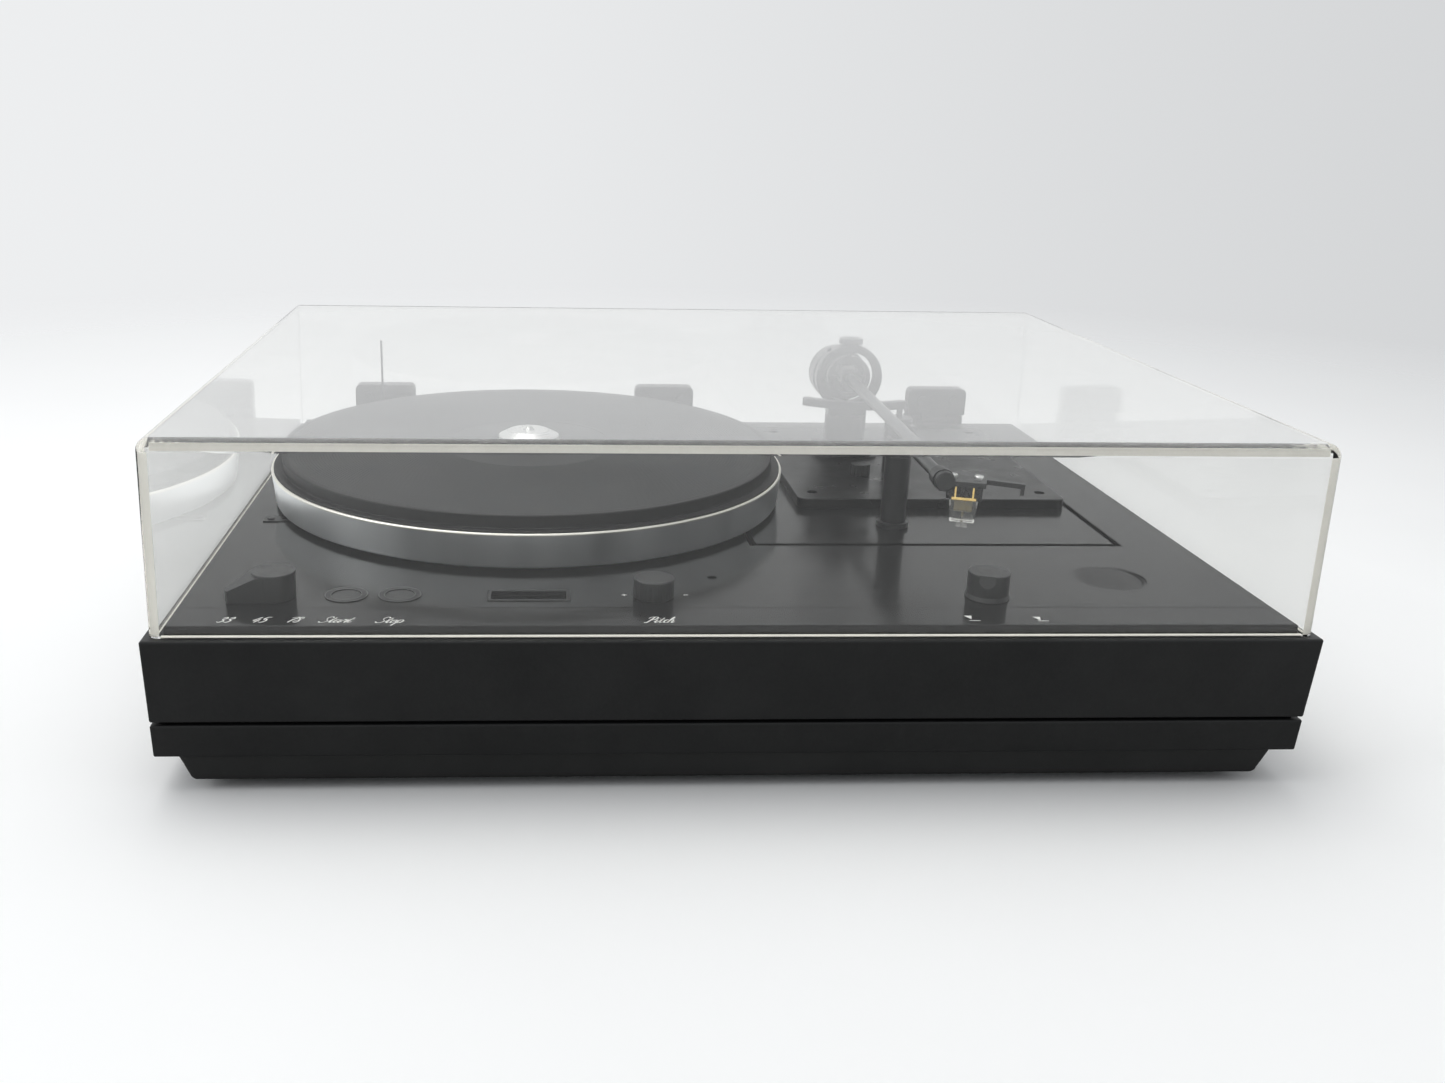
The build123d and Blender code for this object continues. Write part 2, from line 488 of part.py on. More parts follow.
# rest post and cradle
RX, RY = 114.3, -46.0
tube_x = AX + (AY - RY) * math.tan(math.radians(TUBE_DIR))
post = cyl(RX, RY, Z_DECK, 91.0, 9.4) + cyl(RX, RY, 91.0, 131.7, 7.6)
post = soft(post, [e for e in post.edges() if e.center().Z > 131], 0.8, 0.5)
cradle = box(tube_x - 8.0, tube_x + 8.0, RY - 4.0, RY + 4.0, 131.7, 135.7)
cradle += box(tube_x - 8.0, tube_x - 5.2, RY - 4.0, RY + 4.0, 135.0, 138.3)
cradle += box(tube_x + 5.2, tube_x + 8.0, RY - 4.0, RY + 4.0, 135.0, 145.2)
emit("arm_rest", post, cradle)

# lift: cylinder beside the column, arc bar under the tube
LR = 60.75
LA = 22.0
LX, LY = AX + LR * math.sin(math.radians(LA)), AY - LR * math.cos(math.radians(LA))
liftc = cyl(LX, LY, 94.0, 127.0, 9.0) - cyl(LX, LY, 110.0, 130.0, 2.05)
liftc = soft(liftc, [e for e in liftc.edges() if e.center().Z > 126 and e.length > 20], 0.8, 0.5)
emit("lift_cylinder", liftc)
BAR1 = 137.9
bar = ring(AX, AY, BAR1 - 5.0, BAR1, LR + 2.75, LR - 2.75)
# keep the part of the ring from the outer end round to the far end of the arm's sweep
keep_pts = [(AX, AY)]
for a in range(-25, 42, 6):
    r = LR * 1.35
    keep_pts.append((AX - r * math.sin(math.radians(a)), AY - r * math.cos(math.radians(a))))
keep = slab(keep_pts, 130.0, 150.0)
bar = bar & keep
bar = soft(bar, list(bar.edges().filter_by(Axis.Z)), 1.5, 1.0)
emit("lift_bar", bar + cyl(LX, LY, 114.0, BAR1 - 2.0, 2.0))

ask = cyl(115.5, 45.0, 94.3, 102.3, 6.3)
ask = soft(ask, [e for e in ask.edges() if e.center().Z > 101], 0.8, 0.5)
ask -= cyl(115.5, 45.0, 90, 98.0, 2.46)
for k in range(12):
    a = math.radians(30 * k)
    ask -= cyl(115.5 + 6.7 * math.cos(a), 45.0 + 6.7 * math.sin(a), 94, 103, 0.8)
emit("antiskate_knob", ask)

# ------------------------------------------------------------------ controls
sk = cyl(SPEED_X, SPEED_Y, 88.4, 101.0, 10.6)
la = math.radians(204)
lev = [(0, 10.2), (0, -10.2), (24.0, -2.2), (24.0, 2.2)]
wedge = slab(lev, 88.4, 101.0)
# the handle falls away from the cap to its tip
cutw = side_prism([(10.5, 101.2), (26.0, 94.0), (26.0, 103.0), (10.5, 103.0)], -20, 20)
cutw = cutw.moved(Location((0, 0, 0), (0, 0, -90)))
wedge -= cutw
wedge = wedge.moved(Location((SPEED_X, SPEED_Y, 0), (0, 0, 204)))
sk = sk + wedge
capd = cyl(SPEED_X, SPEED_Y, 101.0, 102.2, 11.0)
capd = soft(capd, [e for e in capd.edges() if e.center().Z > 102], 0.4)
emit("speed_knob", sk + capd + cyl(SPEED_X, SPEED_Y, 76.0, 90.0, 3.0))

pk = cyl(PITCH_X, PITCH_Y, 88.4, 98.4, 10.3)
pk = soft(pk, [e for e in pk.edges() if e.center().Z > 98], 0.7, 0.5)
for k in range(36):
    a = math.radians(10 * k)
    pk -= cyl(PITCH_X + 10.75 * math.cos(a), PITCH_Y + 10.75 * math.sin(a), 88, 97.0, 0.6)
emit("pitch_knob", pk + cyl(PITCH_X, PITCH_Y, 76.0, 90.0, 3.0))

ck = cone(CUE_X, CUE_Y, 88.4, 90.6, 11.3, 10.5) + cyl(CUE_X, CUE_Y, 90.6, 102.0, 10.5)
ck = soft(ck, [e for e in ck.edges() if e.center().Z > 101.5], 0.6, 0.4)
flat = Pos(CUE_X, CUE_Y, 0) * Rot(0, 0, -22) * Pos(0, -13.6, 95.0) * Rot(-16, 0, 0) * Box(8.0, 5.6, 16.0)
ck -= flat
emit("cue_knob", ck + cyl(CUE_X, CUE_Y, 76.0, 90.0, 3.0))

for nm, x in (("start_button", START_X), ("stop_button", STOP_X)):
    b = cyl(x, BTN_Y, 80.0, 88.2, 7.3)
    b = soft(b, [e for e in b.edges() if e.center().Z > 88], 0.4)
    b += cyl(x, BTN_Y, 80.0, 81.6 - 1.0, 7.3)
    emit(nm, b)

# under the deck: switch, potentiometer, cue cam box, button switches, board
def body_under(x, y, hw, hd, z0, z1, rb=3.1):
    return box(x - hw, x + hw, y - hd, y + hd, z0, z1) - cyl(x, y, 75.0, 90, rb)


emit("control_mechanisms",
     body_under(SPEED_X, SPEED_Y, 13, 13, 66, 80) + ring(SPEED_X, SPEED_Y, 80, 83, 6.0, 3.1),
     body_under(PITCH_X, PITCH_Y, 11, 11, 66, 80) + ring(PITCH_X, PITCH_Y, 80, 83, 5.5, 3.1),
     body_under(CUE_X, CUE_Y, 15, 12, 66, 80) + ring(CUE_X, CUE_Y, 80, 83, 6.0, 3.1),
     *[box(x - 7, x + 7, BTN_Y - 7, BTN_Y + 7, 66, 74) + cyl(x, BTN_Y, 74, 78.3, 2.4) for x in (START_X, STOP_X)])
pcb = box(-248, 0, -188, -150, 64.2, 65.8)
pcb -= cyl(-120, -153, 60, 70, 1.6) + cyl(-10, -184, 60, 70, 1.6)
comp = [box(-70, -52, -186, -178, 65.8, 69.0), cyl(-60, -157, 65.8, 75, 4.0), cyl(-72, -157, 65.8, 75, 4.0),
        box(-140, -128, -160, -152, 65.8, 68.6), cyl(-20, -180, 65.8, 72, 3.0)]
emit("control_board", pcb, *comp, *strobe_lamp)
tr = box(150, 206, 122, 172, Z_FOOT + 3, 46)
trw = box(156, 200, 116, 178, 14, 40)
emit("transformer", tr + trw)

# ------------------------------------------------------- rear connectors
rx0, rx1, rz0, rz1 = REAR_OPEN
cp = box(rx0 + 0.2, rx1 - 0.2, 204.0, 206.0, rz0 + 0.2, rz1 - 0.2)
PH = [(86.0, 61.0), (108.0, 61.0)]
GT = (132.0, 61.0)
IN = (186.0, 61.0)
for x, z in PH:
    cp -= ycyl(x, 200, 210, z, 5.5)
cp -= ycyl(GT[0], 200, 210, GT[1], 2.5)
cp -= box(IN[0] - 14, IN[0] + 14, 200, 210, IN[1] - 10, IN[1] + 10)
insul = [ycyl(x, 202.0, 208.5, z, 5.5) - ycyl(x, 190, 220, z, 3.6) for x, z in PH]
contacts = [ycyl(x, 196.0, 209.3, z, 3.6) + ycyl(x, 208.5, 217.5, z, 4.15) - ycyl(x, 209.3, 220, z, 3.3) + ycyl(x, 209.0, 214.5, z, 2.3) - ycyl(x, 210, 220, z, 1.6) for x, z in PH]
contacts += [ycyl(GT[0], 198.0, 214.0, GT[1], 2.4), ycyl(GT[0], 206.0, 212.5, GT[1], 5.2) - ycyl(GT[0], 200, 215, GT[1], 2.45)]
inlet = box(IN[0] - 14, IN[0] + 14, 190.0, 207.5, IN[1] - 10, IN[1] + 10) - box(IN[0] - 10.8, IN[0] + 10.8, 195.0, 210, IN[1] - 5.6, IN[1] + 5.6)
for dx in (-6.0, 6.0):
    inlet -= box(IN[0] + dx - 2.6, IN[0] + dx + 2.6, 188.0, 196.0, IN[1] - 0.8, IN[1] + 0.8)
emit("connector_plate", cp, inlet, *insul)
contacts += [box(IN[0] + dx - 2.6, IN[0] + dx + 2.6, 186.0, 204.5, IN[1] - 0.8, IN[1] + 0.8) for dx in (-6.0, 6.0)]
emit("rear_contacts", *contacts)

# -------------------------------------------------------------- dust cover
cov = loft_rects((-COV_X_BOT, COV_X_BOT, COV_F_BOT, COV_B), COV_Z0, (-COV_X_TOP, COV_X_TOP, COV_F_TOP, COV_B), COV_Z1)
cov = soft(cov, [e for e in cov.edges() if e.center().Z > COV_Z0 + 1], 6.0, 4.0, 2.5)
inn = loft_rects((-COV_X_BOT + COV_T, COV_X_BOT - COV_T, COV_F_BOT + COV_T, COV_B - COV_T), COV_Z0 - 0.01,
                 (-COV_X_TOP + COV_T, COV_X_TOP - COV_T, COV_F_TOP + COV_T, COV_B - COV_T), COV_Z1 - COV_T)
cov -= inn
HINGES = (-215.3, 0.0, 215.3)
HW = 22.5
PYV, PZV = COV_OPEN_PIVOT
for hxx in HINGES:
    for s in (-1, 1):
        cov -= ycyl(hxx + s * 13.0, 200, 220, 105.0, 2.1)
emit("dust_cover", cov)

leaves, brackets, pins, hscrews, cscrews = [], [], [], [], []
for hxx in HINGES:
    leaf = box(hxx - HW, hxx + HW, COV_B, 225.0, PZV + 5.6, 114.0)
    leaf = soft(leaf, [e for e in leaf.edges() if e.center().Z > 100 and (abs(e.center().Z - 114) < 0.1) and abs(abs(e.center().X - hxx) - HW) < 0.1], 4.0, 3.0)
    leaf = leaf + box(hxx - 9.8, hxx + 9.8, PYV - 4.4, PYV + 3.0, PZV, PZV + 6.0) + xcyl(hxx - 9.8, hxx + 9.8, PYV, PZV, 5.0)
    leaf -= xcyl(hxx - 30, hxx + 30, PYV, PZV, 2.06)
    for s in (-1, 1):
        leaf -= ycyl(hxx + s * 13.0, 210, 224.0, 105.0, 2.05)
    leaves.append(leaf)
    br = box(hxx - HW, hxx + HW, HY, 226.6, 62.0, 82.2)
    for s in (-1, 1):
        c = hxx + s * (10.1 + HW) / 2
        hw = (HW - 10.1) / 2
        br += box(c - hw, c + hw, HY, PYV + 4.6, 82.0, PZV) + xcyl(c - hw, c + hw, PYV, PZV, 5.0)
    br -= xcyl(hxx - 30, hxx + 30, PYV, PZV, 2.0)
    for s in (-1, 1):
        br -= ycyl(hxx + s * 13.0, 210, 230, 71.0, 2.1) + ycyl(hxx + s * 13.0, 224.4, 230, 71.0, 4.0)
    brackets.append(br)
    pins.append(xcyl(hxx - HW, hxx + HW, PYV, PZV, 2.0))
    for s in (-1, 1):
        hscrews.append(ycyl(hxx + s * 13.0, 224.4, 226.4, 71.0, 3.8) + ycyl(hxx + s * 13.0, HY, 225.0, 71.0, 2.0))
        cscrews.append(ycyl(hxx + s * 13.0, COV_B - COV_T - 2.2, COV_B - COV_T, 105.0, 4.2) + ycyl(hxx + s * 13.0, COV_B - COV_T - 1, 222.0, 105.0, 2.0))
emit("hinge_leaves", *leaves)
emit("hinge_brackets", *brackets)
emit("chassis_fasteners", *foot_screws, *motor_screws, *hscrews, *pins)
emit("cover_screws", *cscrews)

for n, k, v in NAMES:
    print("%-24s solids %2d  volume %10.1f mm3" % (n, k, v))
print(len(NAMES), "nodes; YS =", YS, "stylus at", round(hx, 2), round(hy + YS, 2))
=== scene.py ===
import bpy
import bmesh
import math
import random
from mathutils import Matrix, Vector


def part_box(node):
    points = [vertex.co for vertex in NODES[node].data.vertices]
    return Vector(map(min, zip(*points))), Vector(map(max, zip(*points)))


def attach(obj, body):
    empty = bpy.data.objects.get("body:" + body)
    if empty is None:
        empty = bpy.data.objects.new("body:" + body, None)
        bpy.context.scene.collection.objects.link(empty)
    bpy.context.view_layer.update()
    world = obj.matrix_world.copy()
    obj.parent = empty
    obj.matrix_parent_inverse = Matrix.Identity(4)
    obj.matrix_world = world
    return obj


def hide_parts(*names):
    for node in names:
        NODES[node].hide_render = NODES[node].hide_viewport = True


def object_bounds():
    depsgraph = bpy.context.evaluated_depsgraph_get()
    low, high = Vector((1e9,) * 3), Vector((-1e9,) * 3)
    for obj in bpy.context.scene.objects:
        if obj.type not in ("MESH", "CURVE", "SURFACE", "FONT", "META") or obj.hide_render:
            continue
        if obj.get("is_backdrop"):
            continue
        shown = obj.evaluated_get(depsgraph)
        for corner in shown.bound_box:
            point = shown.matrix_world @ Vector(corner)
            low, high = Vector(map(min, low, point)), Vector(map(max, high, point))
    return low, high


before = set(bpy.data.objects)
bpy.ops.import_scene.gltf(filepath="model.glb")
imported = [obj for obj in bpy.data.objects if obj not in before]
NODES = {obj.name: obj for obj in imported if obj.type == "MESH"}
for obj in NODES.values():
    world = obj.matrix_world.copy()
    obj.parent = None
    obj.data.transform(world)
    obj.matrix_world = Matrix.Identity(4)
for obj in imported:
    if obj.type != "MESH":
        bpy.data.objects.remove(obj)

CAD_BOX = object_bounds()
random.seed(7)

# ------------------------------------------------------------------ materials


class Mat:
    """Small helper around one Principled material whose texture follows object coordinates in metres."""

    def __init__(self, name):
        self.m = bpy.data.materials.new(name)
        self.m.use_nodes = True
        self.nt = self.m.node_tree
        self.nt.nodes.clear()
        self.out = self.node("ShaderNodeOutputMaterial")
        self.b = self.node("ShaderNodeBsdfPrincipled")
        self.link(self.b.outputs[0], self.out.inputs["Surface"])
        self.tc = self.node("ShaderNodeTexCoord")
        self.co = self.tc.outputs["Object"]
        self.normal = None

    def node(self, kind, **kw):
        n = self.nt.nodes.new(kind)
        for k, v in kw.items():
            setattr(n, k, v)
        return n

    def link(self, a, b):
        self.nt.links.new(a, b)

    def set(self, **kw):
        names = {"metal": "Metallic", "rough": "Roughness", "ior": "IOR", "spec": "Specular IOR Level", "coat": "Coat Weight",
                 "coat_rough": "Coat Roughness", "trans": "Transmission Weight", "aniso": "Anisotropic", "sheen": "Sheen Weight",
                 "sheen_rough": "Sheen Roughness", "alpha": "Alpha"}
        for k, v in kw.items():
            self.b.inputs[names[k]].default_value = v
        return self

    def stretch(self, sx, sy, sz, src=None):
        mp = self.node("ShaderNodeMapping")
        mp.inputs["Scale"].default_value = (sx, sy, sz)
        self.link(src or self.co, mp.inputs["Vector"])
        return mp.outputs[0]

    def noise(self, scale, detail=3.0, rough=0.55, vec=None, distortion=0.0):
        n = self.node("ShaderNodeTexNoise")
        n.inputs["Scale"].default_value = scale
        n.inputs["Detail"].default_value = detail
        n.inputs["Roughness"].default_value = rough
        n.inputs["Distortion"].default_value = distortion
        self.link(vec or self.co, n.inputs["Vector"])
        return n.outputs["Fac"]

    def voronoi(self, scale, vec=None, feature="F1"):
        n = self.node("ShaderNodeTexVoronoi", feature=feature)
        n.inputs["Scale"].default_value = scale
        self.link(vec or self.co, n.inputs["Vector"])
        return n.outputs["Distance"]

    def ramp(self, fac, stops):
        r = self.node("ShaderNodeValToRGB")
        el = r.color_ramp.elements
        while len(el) > 1:
            el.remove(el[-1])
        el[0].position = stops[0][0]
        el[0].color = (*stops[0][1], 1) if len(stops[0][1]) == 3 else stops[0][1]
        for p, c in stops[1:]:
            e = el.new(p)
            e.color = (*c, 1)
        self.link(fac, r.inputs[0])
        return r.outputs[0]

    def span(self, fac, lo, hi, a=0.0, b=1.0):
        n = self.node("ShaderNodeMapRange")
        n.inputs["From Min"].default_value = a
        n.inputs["From Max"].default_value = b
        n.inputs["To Min"].default_value = lo
        n.inputs["To Max"].default_value = hi
        self.link(fac, n.inputs["Value"])
        return n.outputs[0]

    def math(self, op, a, b=None):
        n = self.node("ShaderNodeMath", operation=op)
        for i, v in enumerate((a, b)):
            if v is None:
                continue
            if isinstance(v, (int, float)):
                n.inputs[i].default_value = v
            else:
                self.link(v, n.inputs[i])
        return n.outputs[0]

    def mix(self, fac, a, b):
        n = self.node("ShaderNodeMix", data_type="RGBA")
        for sock, v in ((n.inputs[0], fac), (n.inputs[6], a), (n.inputs[7], b)):
            if isinstance(v, (int, float)):
                sock.default_value = v
            elif isinstance(v, tuple):
                sock.default_value = (*v, 1)
            else:
                self.link(v, sock)
        return n.outputs[2]

    def color(self, sock):
        self.link(sock, self.b.inputs["Base Color"])
        return self

    def roughness(self, sock):
        self.link(sock, self.b.inputs["Roughness"])
        return self

    def bump(self, height, strength, distance):
        n = self.node("ShaderNodeBump")
        n.inputs["Strength"].default_value = strength
        n.inputs["Distance"].default_value = distance
        self.link(height, n.inputs["Height"])
        if self.normal is not None:
            self.link(self.normal, n.inputs["Normal"])
        self.normal = n.outputs[0]
        self.link(self.normal, self.b.inputs["Normal"])
        return self

    def radius(self, cx, cy):
        """Distance from the vertical axis through cx, cy."""
        mp = self.node("ShaderNodeMapping")
        mp.inputs["Location"].default_value = (-cx, -cy, 0)
        mp.inputs["Scale"].default_value = (1, 1, 0)
        self.link(self.co, mp.inputs["Vector"])
        v = self.node("ShaderNodeVectorMath", operation="LENGTH")
        self.link(mp.outputs[0], v.inputs[0])
        return v.outputs["Value"]

    def height(self):
        s = self.node("ShaderNodeSeparateXYZ")
        self.link(self.co, s.inputs[0])
        return s.outputs["Z"]


def painted(name, dark, light, rough_lo, rough_hi, grain=900.0, blotch=22.0, bump=0.25, dist=0.00008, spec=0.5, coat=0.0):
    """Near-black paint or plastic: fine grain, slow cloudiness and a little variation in gloss."""
    m = Mat(name)
    cloud = m.noise(blotch, 4, 0.6)
    fine = m.noise(grain, 2, 0.6)
    both = m.math("ADD", m.math("MULTIPLY", cloud, 0.65), m.math("MULTIPLY", fine, 0.35))
    m.color(m.ramp(both, [(0.32, dark), (0.68, light)]))
    m.roughness(m.span(m.noise(blotch * 2.4, 3), rough_lo, rough_hi, 0.3, 0.7))
    m.set(spec=spec, coat=coat)
    m.bump(fine, bump, dist)
    return m


def brushed_black(name, dark, light, rough_lo, rough_hi):
    """Black deck finish with a very fine grain running left to right."""
    m = Mat(name)
    lines = m.noise(1.0, 2, 0.5, vec=m.stretch(10, 420, 100))
    long = m.noise(1.0, 2, 0.5, vec=m.stretch(5, 120, 60))
    cloud = m.noise(9.0, 3, 0.5)
    f = m.math("ADD", m.math("MULTIPLY", lines, 0.45), m.math("ADD", m.math("MULTIPLY", long, 0.3), m.math("MULTIPLY", cloud, 0.25)))
    m.color(m.ramp(f, [(0.36, dark), (0.64, light)]))
    m.roughness(m.span(long, rough_lo, rough_hi, 0.3, 0.7))
    m.set(spec=0.26)
    return m


def metal(name, dark, light, rough_lo, rough_hi, stretch=(700, 700, 700), bump=0.1, dist=0.00002, cloud=40.0, aniso=0.0):
    m = Mat(name)
    f = m.noise(1.0, 3, 0.6, vec=m.stretch(*stretch))
    g = m.noise(cloud, 3, 0.5)
    both = m.math("ADD", m.math("MULTIPLY", f, 0.5), m.math("MULTIPLY", g, 0.5))
    m.color(m.ramp(both, [(0.35, dark), (0.65, light)]))
    m.roughness(m.span(g, rough_lo, rough_hi, 0.3, 0.7))
    m.set(metal=1.0, aniso=aniso)
    m.bump(f, bump, dist)
    return m


def turned(name, cx, cy, dark, light, rough_lo, rough_hi, pitch=0.00045, bump=0.18):
    """Lathe-turned metal about a vertical axis: fine rings on flat faces and round the sides."""
    m = Mat(name)
    r = m.radius(cx, cy)
    rings = m.math("SINE", m.math("MULTIPLY", m.math("ADD", r, m.height()), 2 * math.pi / pitch))
    jitter = m.noise(1.0, 2, 0.6, vec=m.stretch(30, 30, 2600))
    g = m.noise(14.0, 3, 0.5)
    f = m.math("ADD", m.math("MULTIPLY", jitter, 0.6), m.math("MULTIPLY", g, 0.4))
    m.color(m.ramp(f, [(0.35, dark), (0.65, light)]))
    m.roughness(m.span(jitter, rough_lo, rough_hi, 0.3, 0.7))
    m.set(metal=1.0)
    m.bump(m.math("ADD", m.math("MULTIPLY", rings, 0.3), jitter), bump, 0.00002)
    return m


PLX, PLY = (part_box("platter")[0].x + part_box("platter")[1].x) / 2, (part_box("platter")[0].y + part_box("platter")[1].y) / 2

plinth_m = painted("plinth_black", (0.0120, 0.0125, 0.0128), (0.0190, 0.0196, 0.0196), 0.42, 0.56, grain=620, blotch=30, bump=0.35, dist=0.00012)
tray_m = painted("tray_black", (0.0165, 0.0172, 0.017), (0.0245, 0.025, 0.0248), 0.46, 0.6, grain=1400, blotch=18, bump=0.4, dist=0.0001)
# painted shadow: the recessed joint strip is coloured near-black for the shade between the plinth blocks
shadow_m = painted("joint_shadow_black", (0.003, 0.003, 0.003), (0.006, 0.006, 0.006), 0.8, 0.95)
rubber_m = painted("rubber_black", (0.012, 0.012, 0.012), (0.022, 0.022, 0.022), 0.6, 0.8, grain=1800, bump=0.3)
deck_m = brushed_black("deck_black", (0.003, 0.0031, 0.0032), (0.007, 0.0071, 0.0072), 0.14, 0.22)
strip_m = brushed_black("strip_black", (0.003, 0.0031, 0.0032), (0.007, 0.0071, 0.0072), 0.14, 0.22)
board_m = painted("board_black", (0.005, 0.005, 0.0052), (0.009, 0.009, 0.0094), 0.26, 0.36, grain=1300, blotch=25, bump=0.12, spec=0.3)
knob_m = painted("knob_black", (0.010, 0.0105, 0.011), (0.018, 0.0185, 0.019), 0.34, 0.46, grain=1700, blotch=120, bump=0.2, dist=0.00005)
button_m = painted("button_black", (0.006, 0.006, 0.0062), (0.011, 0.011, 0.0112), 0.3, 0.4, grain=1700, blotch=120, bump=0.15, dist=0.00005)
bezel_m = painted("bezel_black", (0.006, 0.006, 0.0065), (0.011, 0.011, 0.012), 0.4, 0.5, grain=1500)
arm_black_m = painted("arm_black", (0.010, 0.010, 0.011), (0.019, 0.019, 0.020), 0.30, 0.42, grain=1200, blotch=90, bump=0.12, dist=0.00005)
shell_m = painted("headshell_black", (0.012, 0.0125, 0.013), (0.022, 0.0225, 0.0235), 0.28, 0.40, grain=1500, blotch=120, bump=0.15, dist=0.00004)
cart_m = painted("cartridge_black", (0.008, 0.008, 0.009), (0.016, 0.016, 0.017), 0.22, 0.34, grain=900, blotch=150, bump=0.1, dist=0.00004)
stylus_m = painted("stylus_amber", (0.10, 0.075, 0.022), (0.24, 0.185, 0.065), 0.26, 0.38, grain=1600, blotch=400, bump=0.3, dist=0.0001)
fixture_m = painted("fixture_black", (0.016, 0.016, 0.016), (0.028, 0.028, 0.028), 0.5, 0.65, grain=1000)
socket_m = painted("socket_black", (0.010, 0.010, 0.010), (0.019, 0.019, 0.019), 0.35, 0.5, grain=1400)
trafo_m = painted("transformer_iron", (0.05, 0.045, 0.04), (0.10, 0.09, 0.08), 0.4, 0.6, grain=500, blotch=60, bump=0.5)
board_green_m = painted("board_green", (0.008, 0.035, 0.012), (0.016, 0.06, 0.02), 0.3, 0.45, grain=500, blotch=90, bump=0.2)
ink_m = painted("legend_ink", (0.66, 0.66, 0.65), (0.80, 0.80, 0.78), 0.5, 0.65, grain=3000, blotch=300, bump=0.1, dist=0.00002)

# platter: satin turned rim with broad soft light and dark vertical bands round it as painted reflection, and a painted
# highlight on its top edge
platter_m = Mat("platter_aluminium")
# painted reflection: tone varies only across x and y, giving soft vertical light and dark bands round the rim
broad = platter_m.noise(1.0, 2, 0.5, vec=platter_m.stretch(26, 26, 0))
close = platter_m.noise(1.0, 1, 0.4, vec=platter_m.stretch(70, 70, 0))
tone = platter_m.math("ADD", platter_m.math("MULTIPLY", broad, 0.75), platter_m.math("MULTIPLY", close, 0.25))
body = platter_m.ramp(tone, [(0.25, (0.66, 0.68, 0.69)), (0.75, (0.88, 0.90, 0.91))])
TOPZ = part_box("platter_mat")[0].z
# painted highlight: pale colour in a thin band at the rim's top edge
edge = platter_m.math("MULTIPLY", platter_m.span(platter_m.height(), 0.0, 1.0, TOPZ - 0.0009, TOPZ - 0.0005), platter_m.span(platter_m.radius(PLX, PLY), 0.0, 1.0, 0.1585, 0.1587))
platter_m.color(platter_m.mix(edge, body, (0.90, 0.88, 0.82)))
platter_m.roughness(platter_m.span(tone, 0.30, 0.40, 0.3, 0.7))
platter_m.set(metal=1.0)
platter_m.bump(platter_m.noise(1.0, 2, 0.6, vec=platter_m.stretch(60, 60, 1200)), 0.03, 0.00001)
inner_m = turned("inner_aluminium", PLX, PLY, (0.5, 0.5, 0.49), (0.62, 0.62, 0.6), 0.22, 0.32)
adapter_m = turned("adapter_aluminium", PLX, PLY, (0.74, 0.74, 0.73), (0.86, 0.86, 0.85), 0.24, 0.36, pitch=0.0004)
spindle_m = turned("spindle_steel", PLX, PLY, (0.55, 0.55, 0.54), (0.68, 0.68, 0.67), 0.12, 0.2)
tube_m = metal("tube_grey", (0.10, 0.103, 0.105), (0.16, 0.163, 0.165), 0.28, 0.38, stretch=(60, 60, 2600), bump=0.08)
chrome_m = metal("bright_steel", (0.70, 0.70, 0.69), (0.80, 0.80, 0.79), 0.08, 0.16, stretch=(900, 900, 900), bump=0.05)
steel_m = metal("plain_steel", (0.42, 0.42, 0.41), (0.55, 0.55, 0.53), 0.26, 0.4, stretch=(120, 900, 900))
spring_m = metal("spring_steel", (0.45, 0.45, 0.43), (0.60, 0.60, 0.57), 0.2, 0.32, stretch=(500, 500, 500))
chassis_m = metal("chassis_aluminium", (0.42, 0.42, 0.42), (0.56, 0.56, 0.55), 0.34, 0.48, stretch=(60, 1500, 900))
gold_m = metal("gold_plate", (0.74, 0.52, 0.18), (0.90, 0.68, 0.30), 0.2, 0.3, stretch=(900, 900, 900))
pulley_m = metal("pulley_brass", (0.60, 0.45, 0.2), (0.74, 0.58, 0.28), 0.16, 0.26, stretch=(60, 60, 3000))
contact_m = metal("contact_plate", (0.62, 0.55, 0.34), (0.76, 0.68, 0.44), 0.18, 0.3, stretch=(60, 2000, 60))
tab_m = metal("tab_black", (0.02, 0.02, 0.02), (0.05, 0.05, 0.05), 0.3, 0.45)
hinge_m = painted("hinge_black", (0.007, 0.007, 0.0075), (0.013, 0.013, 0.0135), 0.36, 0.5, grain=1100, blotch=50, bump=0.25)
weight_m = painted("weight_black", (0.010, 0.010, 0.011), (0.020, 0.020, 0.021), 0.28, 0.4, grain=1300, blotch=90, bump=0.15)


